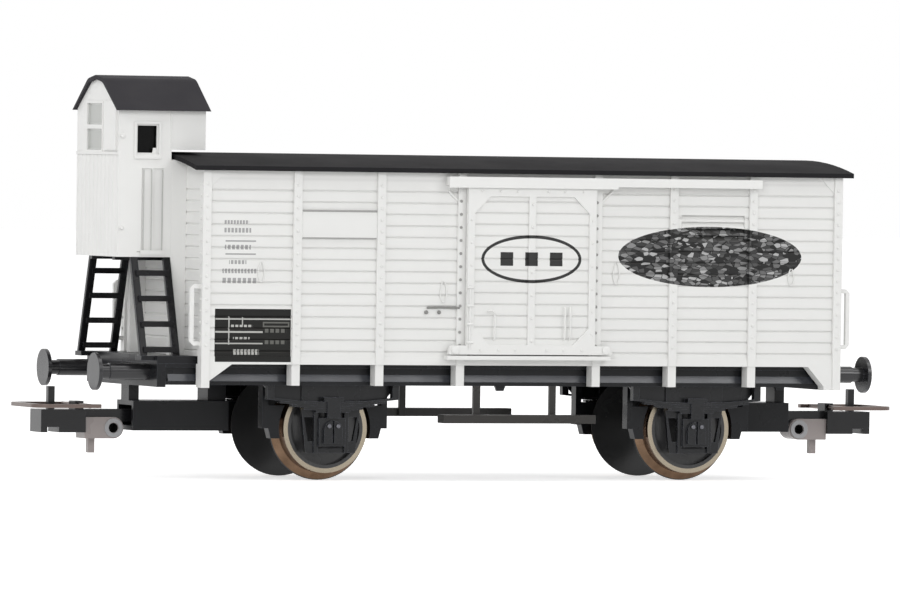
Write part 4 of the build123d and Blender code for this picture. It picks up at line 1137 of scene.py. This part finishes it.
# Couplers: black housings under the headstocks, glossy black drawbars and heads, a silver-grey
# pocket with a round hole, and a lifting loop of bronzed spring steel.
coupler_plastic = moulded("coupler_plastic", colour=(0.010, 0.010, 0.011), roughness=0.2,
                          wear_glint_colour=(0.2, 0.2, 0.23), wear_glint=0.8, dust=0.05, specular=0.3)
pocket_plastic = moulded("pocket_plastic", colour=(0.34, 0.30, 0.29), roughness=0.3,
                         wear_glint_colour=(0.7, 0.7, 0.7), wear_glint=0.7, dust=0.05)
loop_steel = moulded("loop_steel", colour=(0.14, 0.11, 0.10), roughness=0.32,
                     wear_glint_colour=(0.4, 0.33, 0.28), wear_glint=0.5, dust=0.0, metallic=1.0)
for end_name, end in ENDS:
    dress(black_plastic, f"coupler_housing_{end_name}")
    dress(coupler_plastic, f"drawbar_{end_name}", f"coupler_head_{end_name}")
    dress(pocket_plastic, f"coupler_pocket_{end_name}")
    dress(loop_steel, f"coupler_loop_{end_name}")

# Eyes of the pockets: a raised ring round the hole on each side, moulded on and of a silvery grey from wear,
# with a bush inside in a matt near-black that is painted shade in the hole.
eye_inset = 1.4 * MM        # from the pocket's inner edge
eye_height = 6.6 * MM
eye_stand = 0.07 * MM
eye_rim = 0.55 * MM
bush_wall = 0.15 * MM
eye = cylinder("eye_pattern", vertices=24, radius=1.25 * MM, length=0.16 * MM)
pierce(eye, eye_rim)
bush = cylinder("bush_pattern", vertices=16, radius=0.62 * MM, length=3.3 * MM)
pierce(bush, bush_wall)
silvery = moulded("silvery", colour=(0.38, 0.38, 0.39), roughness=0.3, wear_glint_colour=(0.8, 0.8, 0.8),
                  wear_glint=0.5, dust=0.0)
# The bush's matt near-black is painted shade in the hole.
bush_painted_shade = moulded("bush_painted_shade", colour=(0.004, 0.004, 0.004), roughness=0.9,
                     wear_glint_colour=(0.01, 0.01, 0.01), wear_glint=0.1, dust=0.0, specular=0.05)
for end_name, end in ENDS:
    low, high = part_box(f"coupler_pocket_{end_name}")
    place = end * (min(abs(low[0]), abs(high[0])) + eye_inset)
    places = [Matrix.Translation((place, side * (high[1] + eye_stand), eye_height)) for name, side in SIDES]
    name = f"pocket_eyes_{end_name}"
    seat(set_out(eye, places, name), name, silvery, f"coupler_{end_name}")
    name = f"pocket_bush_{end_name}"
    seat(set_out(bush, [Matrix.Translation((place, 0, eye_height))], name), name, bush_painted_shade,
         f"coupler_{end_name}")
for pattern in (bolt, small_bolt, gear_bolt, boss, knob, hinge, eye, bush):
    bpy.data.objects.remove(pattern)

# Camera: a long lens a little over a metre away, level with the wagon and turned 21.6 degrees
# towards the brake end. The place and the angles come from the lines of the model in the photograph.
camera_place = Vector((-464.944, -1172.879, 45.027)) * MM
camera_yaw = radians(21.575)
camera_pitch = radians(0.971)
camera_roll = radians(0.818)
camera_data = bpy.data.cameras.new("camera")
camera_data.sensor_width = 36.0
camera_data.lens = 379.35
camera_data.clip_start = 0.05
camera = bpy.data.objects.new("camera", camera_data)
scene.collection.objects.link(camera)
ahead = Vector((sin(camera_yaw) * cos(camera_pitch), cos(camera_yaw) * cos(camera_pitch), -sin(camera_pitch)))
right = Vector((cos(camera_yaw), -sin(camera_yaw), 0))
up = right.cross(ahead)
rolled_right = cos(camera_roll) * right + sin(camera_roll) * up
rolled_up = cos(camera_roll) * up - sin(camera_roll) * right
camera.matrix_world = Matrix((
    (rolled_right.x, rolled_up.x, -ahead.x, camera_place.x),
    (rolled_right.y, rolled_up.y, -ahead.y, camera_place.y),
    (rolled_right.z, rolled_up.z, -ahead.z, camera_place.z),
    (0, 0, 0, 1),
))
scene.camera = camera

# Studio lamps: soft square ones at the right, in front, at the brake end, above and behind. All face
# the middle of the wagon.
lamp_target = Vector((0, 0, 0.025))
lamps = (
    # name, place, size, power
    ("key_lamp", (0.36, -0.6, 0.37), 0.25, 1.1),
    ("top_lamp", (0.26, -0.2, 0.64), 0.3, 0.8),
    ("front_lamp", (-0.4, -0.6, 0.3), 0.35, 1.2),
    ("end_lamp", (-0.62, -0.15, 0.5), 0.3, 1.1),
    ("back_lamp", (-0.3, 0.55, 0.45), 0.4, 0.9),
)
for name, place, size, power in lamps:
    data = bpy.data.lights.new(name, "AREA")
    data.size = size
    data.energy = power
    lamp = bpy.data.objects.new(name, data)
    scene.collection.objects.link(lamp)
    lamp.location = place
    lamp.rotation_euler = (lamp_target - Vector(place)).to_track_quat("-Z", "Y").to_euler()


# Studio: a white sweep as in a catalogue picture. The floor keeps the wagon's shadow, and floor and
# backdrop are white to the camera and in reflections.
backdrop_strength = 1.0
room_strength = 0.5
floor_size = 6
floor_strength = 0.6


def seen_directly(tree):
    """1 for what the camera, a reflection or a pane shows, and 0 for light that falls on things."""
    paths = tree.nodes.new("ShaderNodeLightPath")
    mirrored = sum_node(tree, "MAXIMUM", paths.outputs["Is Glossy Ray"], paths.outputs["Is Transmission Ray"])
    return sum_node(tree, "MAXIMUM", paths.outputs["Is Camera Ray"], mirrored)


def white_light(tree, strength):
    """White light from all round."""
    node = tree.nodes.new("ShaderNodeBackground")
    return feed(tree, node, {"Color": (1, 1, 1, 1), "Strength": strength}).outputs[0]


world = bpy.data.worlds.new("studio")
scene.world = world
world.use_nodes = True
tree = world.node_tree
tree.nodes.clear()
chosen = feed(tree, tree.nodes.new("ShaderNodeMixShader"), {
    0: seen_directly(tree), 1: white_light(tree, room_strength), 2: white_light(tree, backdrop_strength)})
feed(tree, tree.nodes.new("ShaderNodeOutputWorld"), {"Surface": chosen.outputs[0]})

bpy.ops.mesh.primitive_plane_add(size=floor_size, location=(0, 0, 0))
floor = bpy.context.object
floor.name = "floor"
bpy.ops.object.transform_apply(location=True, rotation=True, scale=True)
floor_material = bpy.data.materials.new("studio_floor")
floor_material.use_nodes = True
tree = floor_material.node_tree
feed(tree, tree.nodes["Principled BSDF"], {
    "Base Color": (0.9, 0.9, 0.9, 1), "Roughness": 0.9, "Specular IOR Level": 0.1,
    "Emission Strength": floor_strength,
    "Emission Color": blend_node(tree, seen_directly(tree), (0, 0, 0, 1), (1, 1, 1, 1))})
floor.data.materials.append(floor_material)
bpy.ops.object.select_all(action="DESELECT")
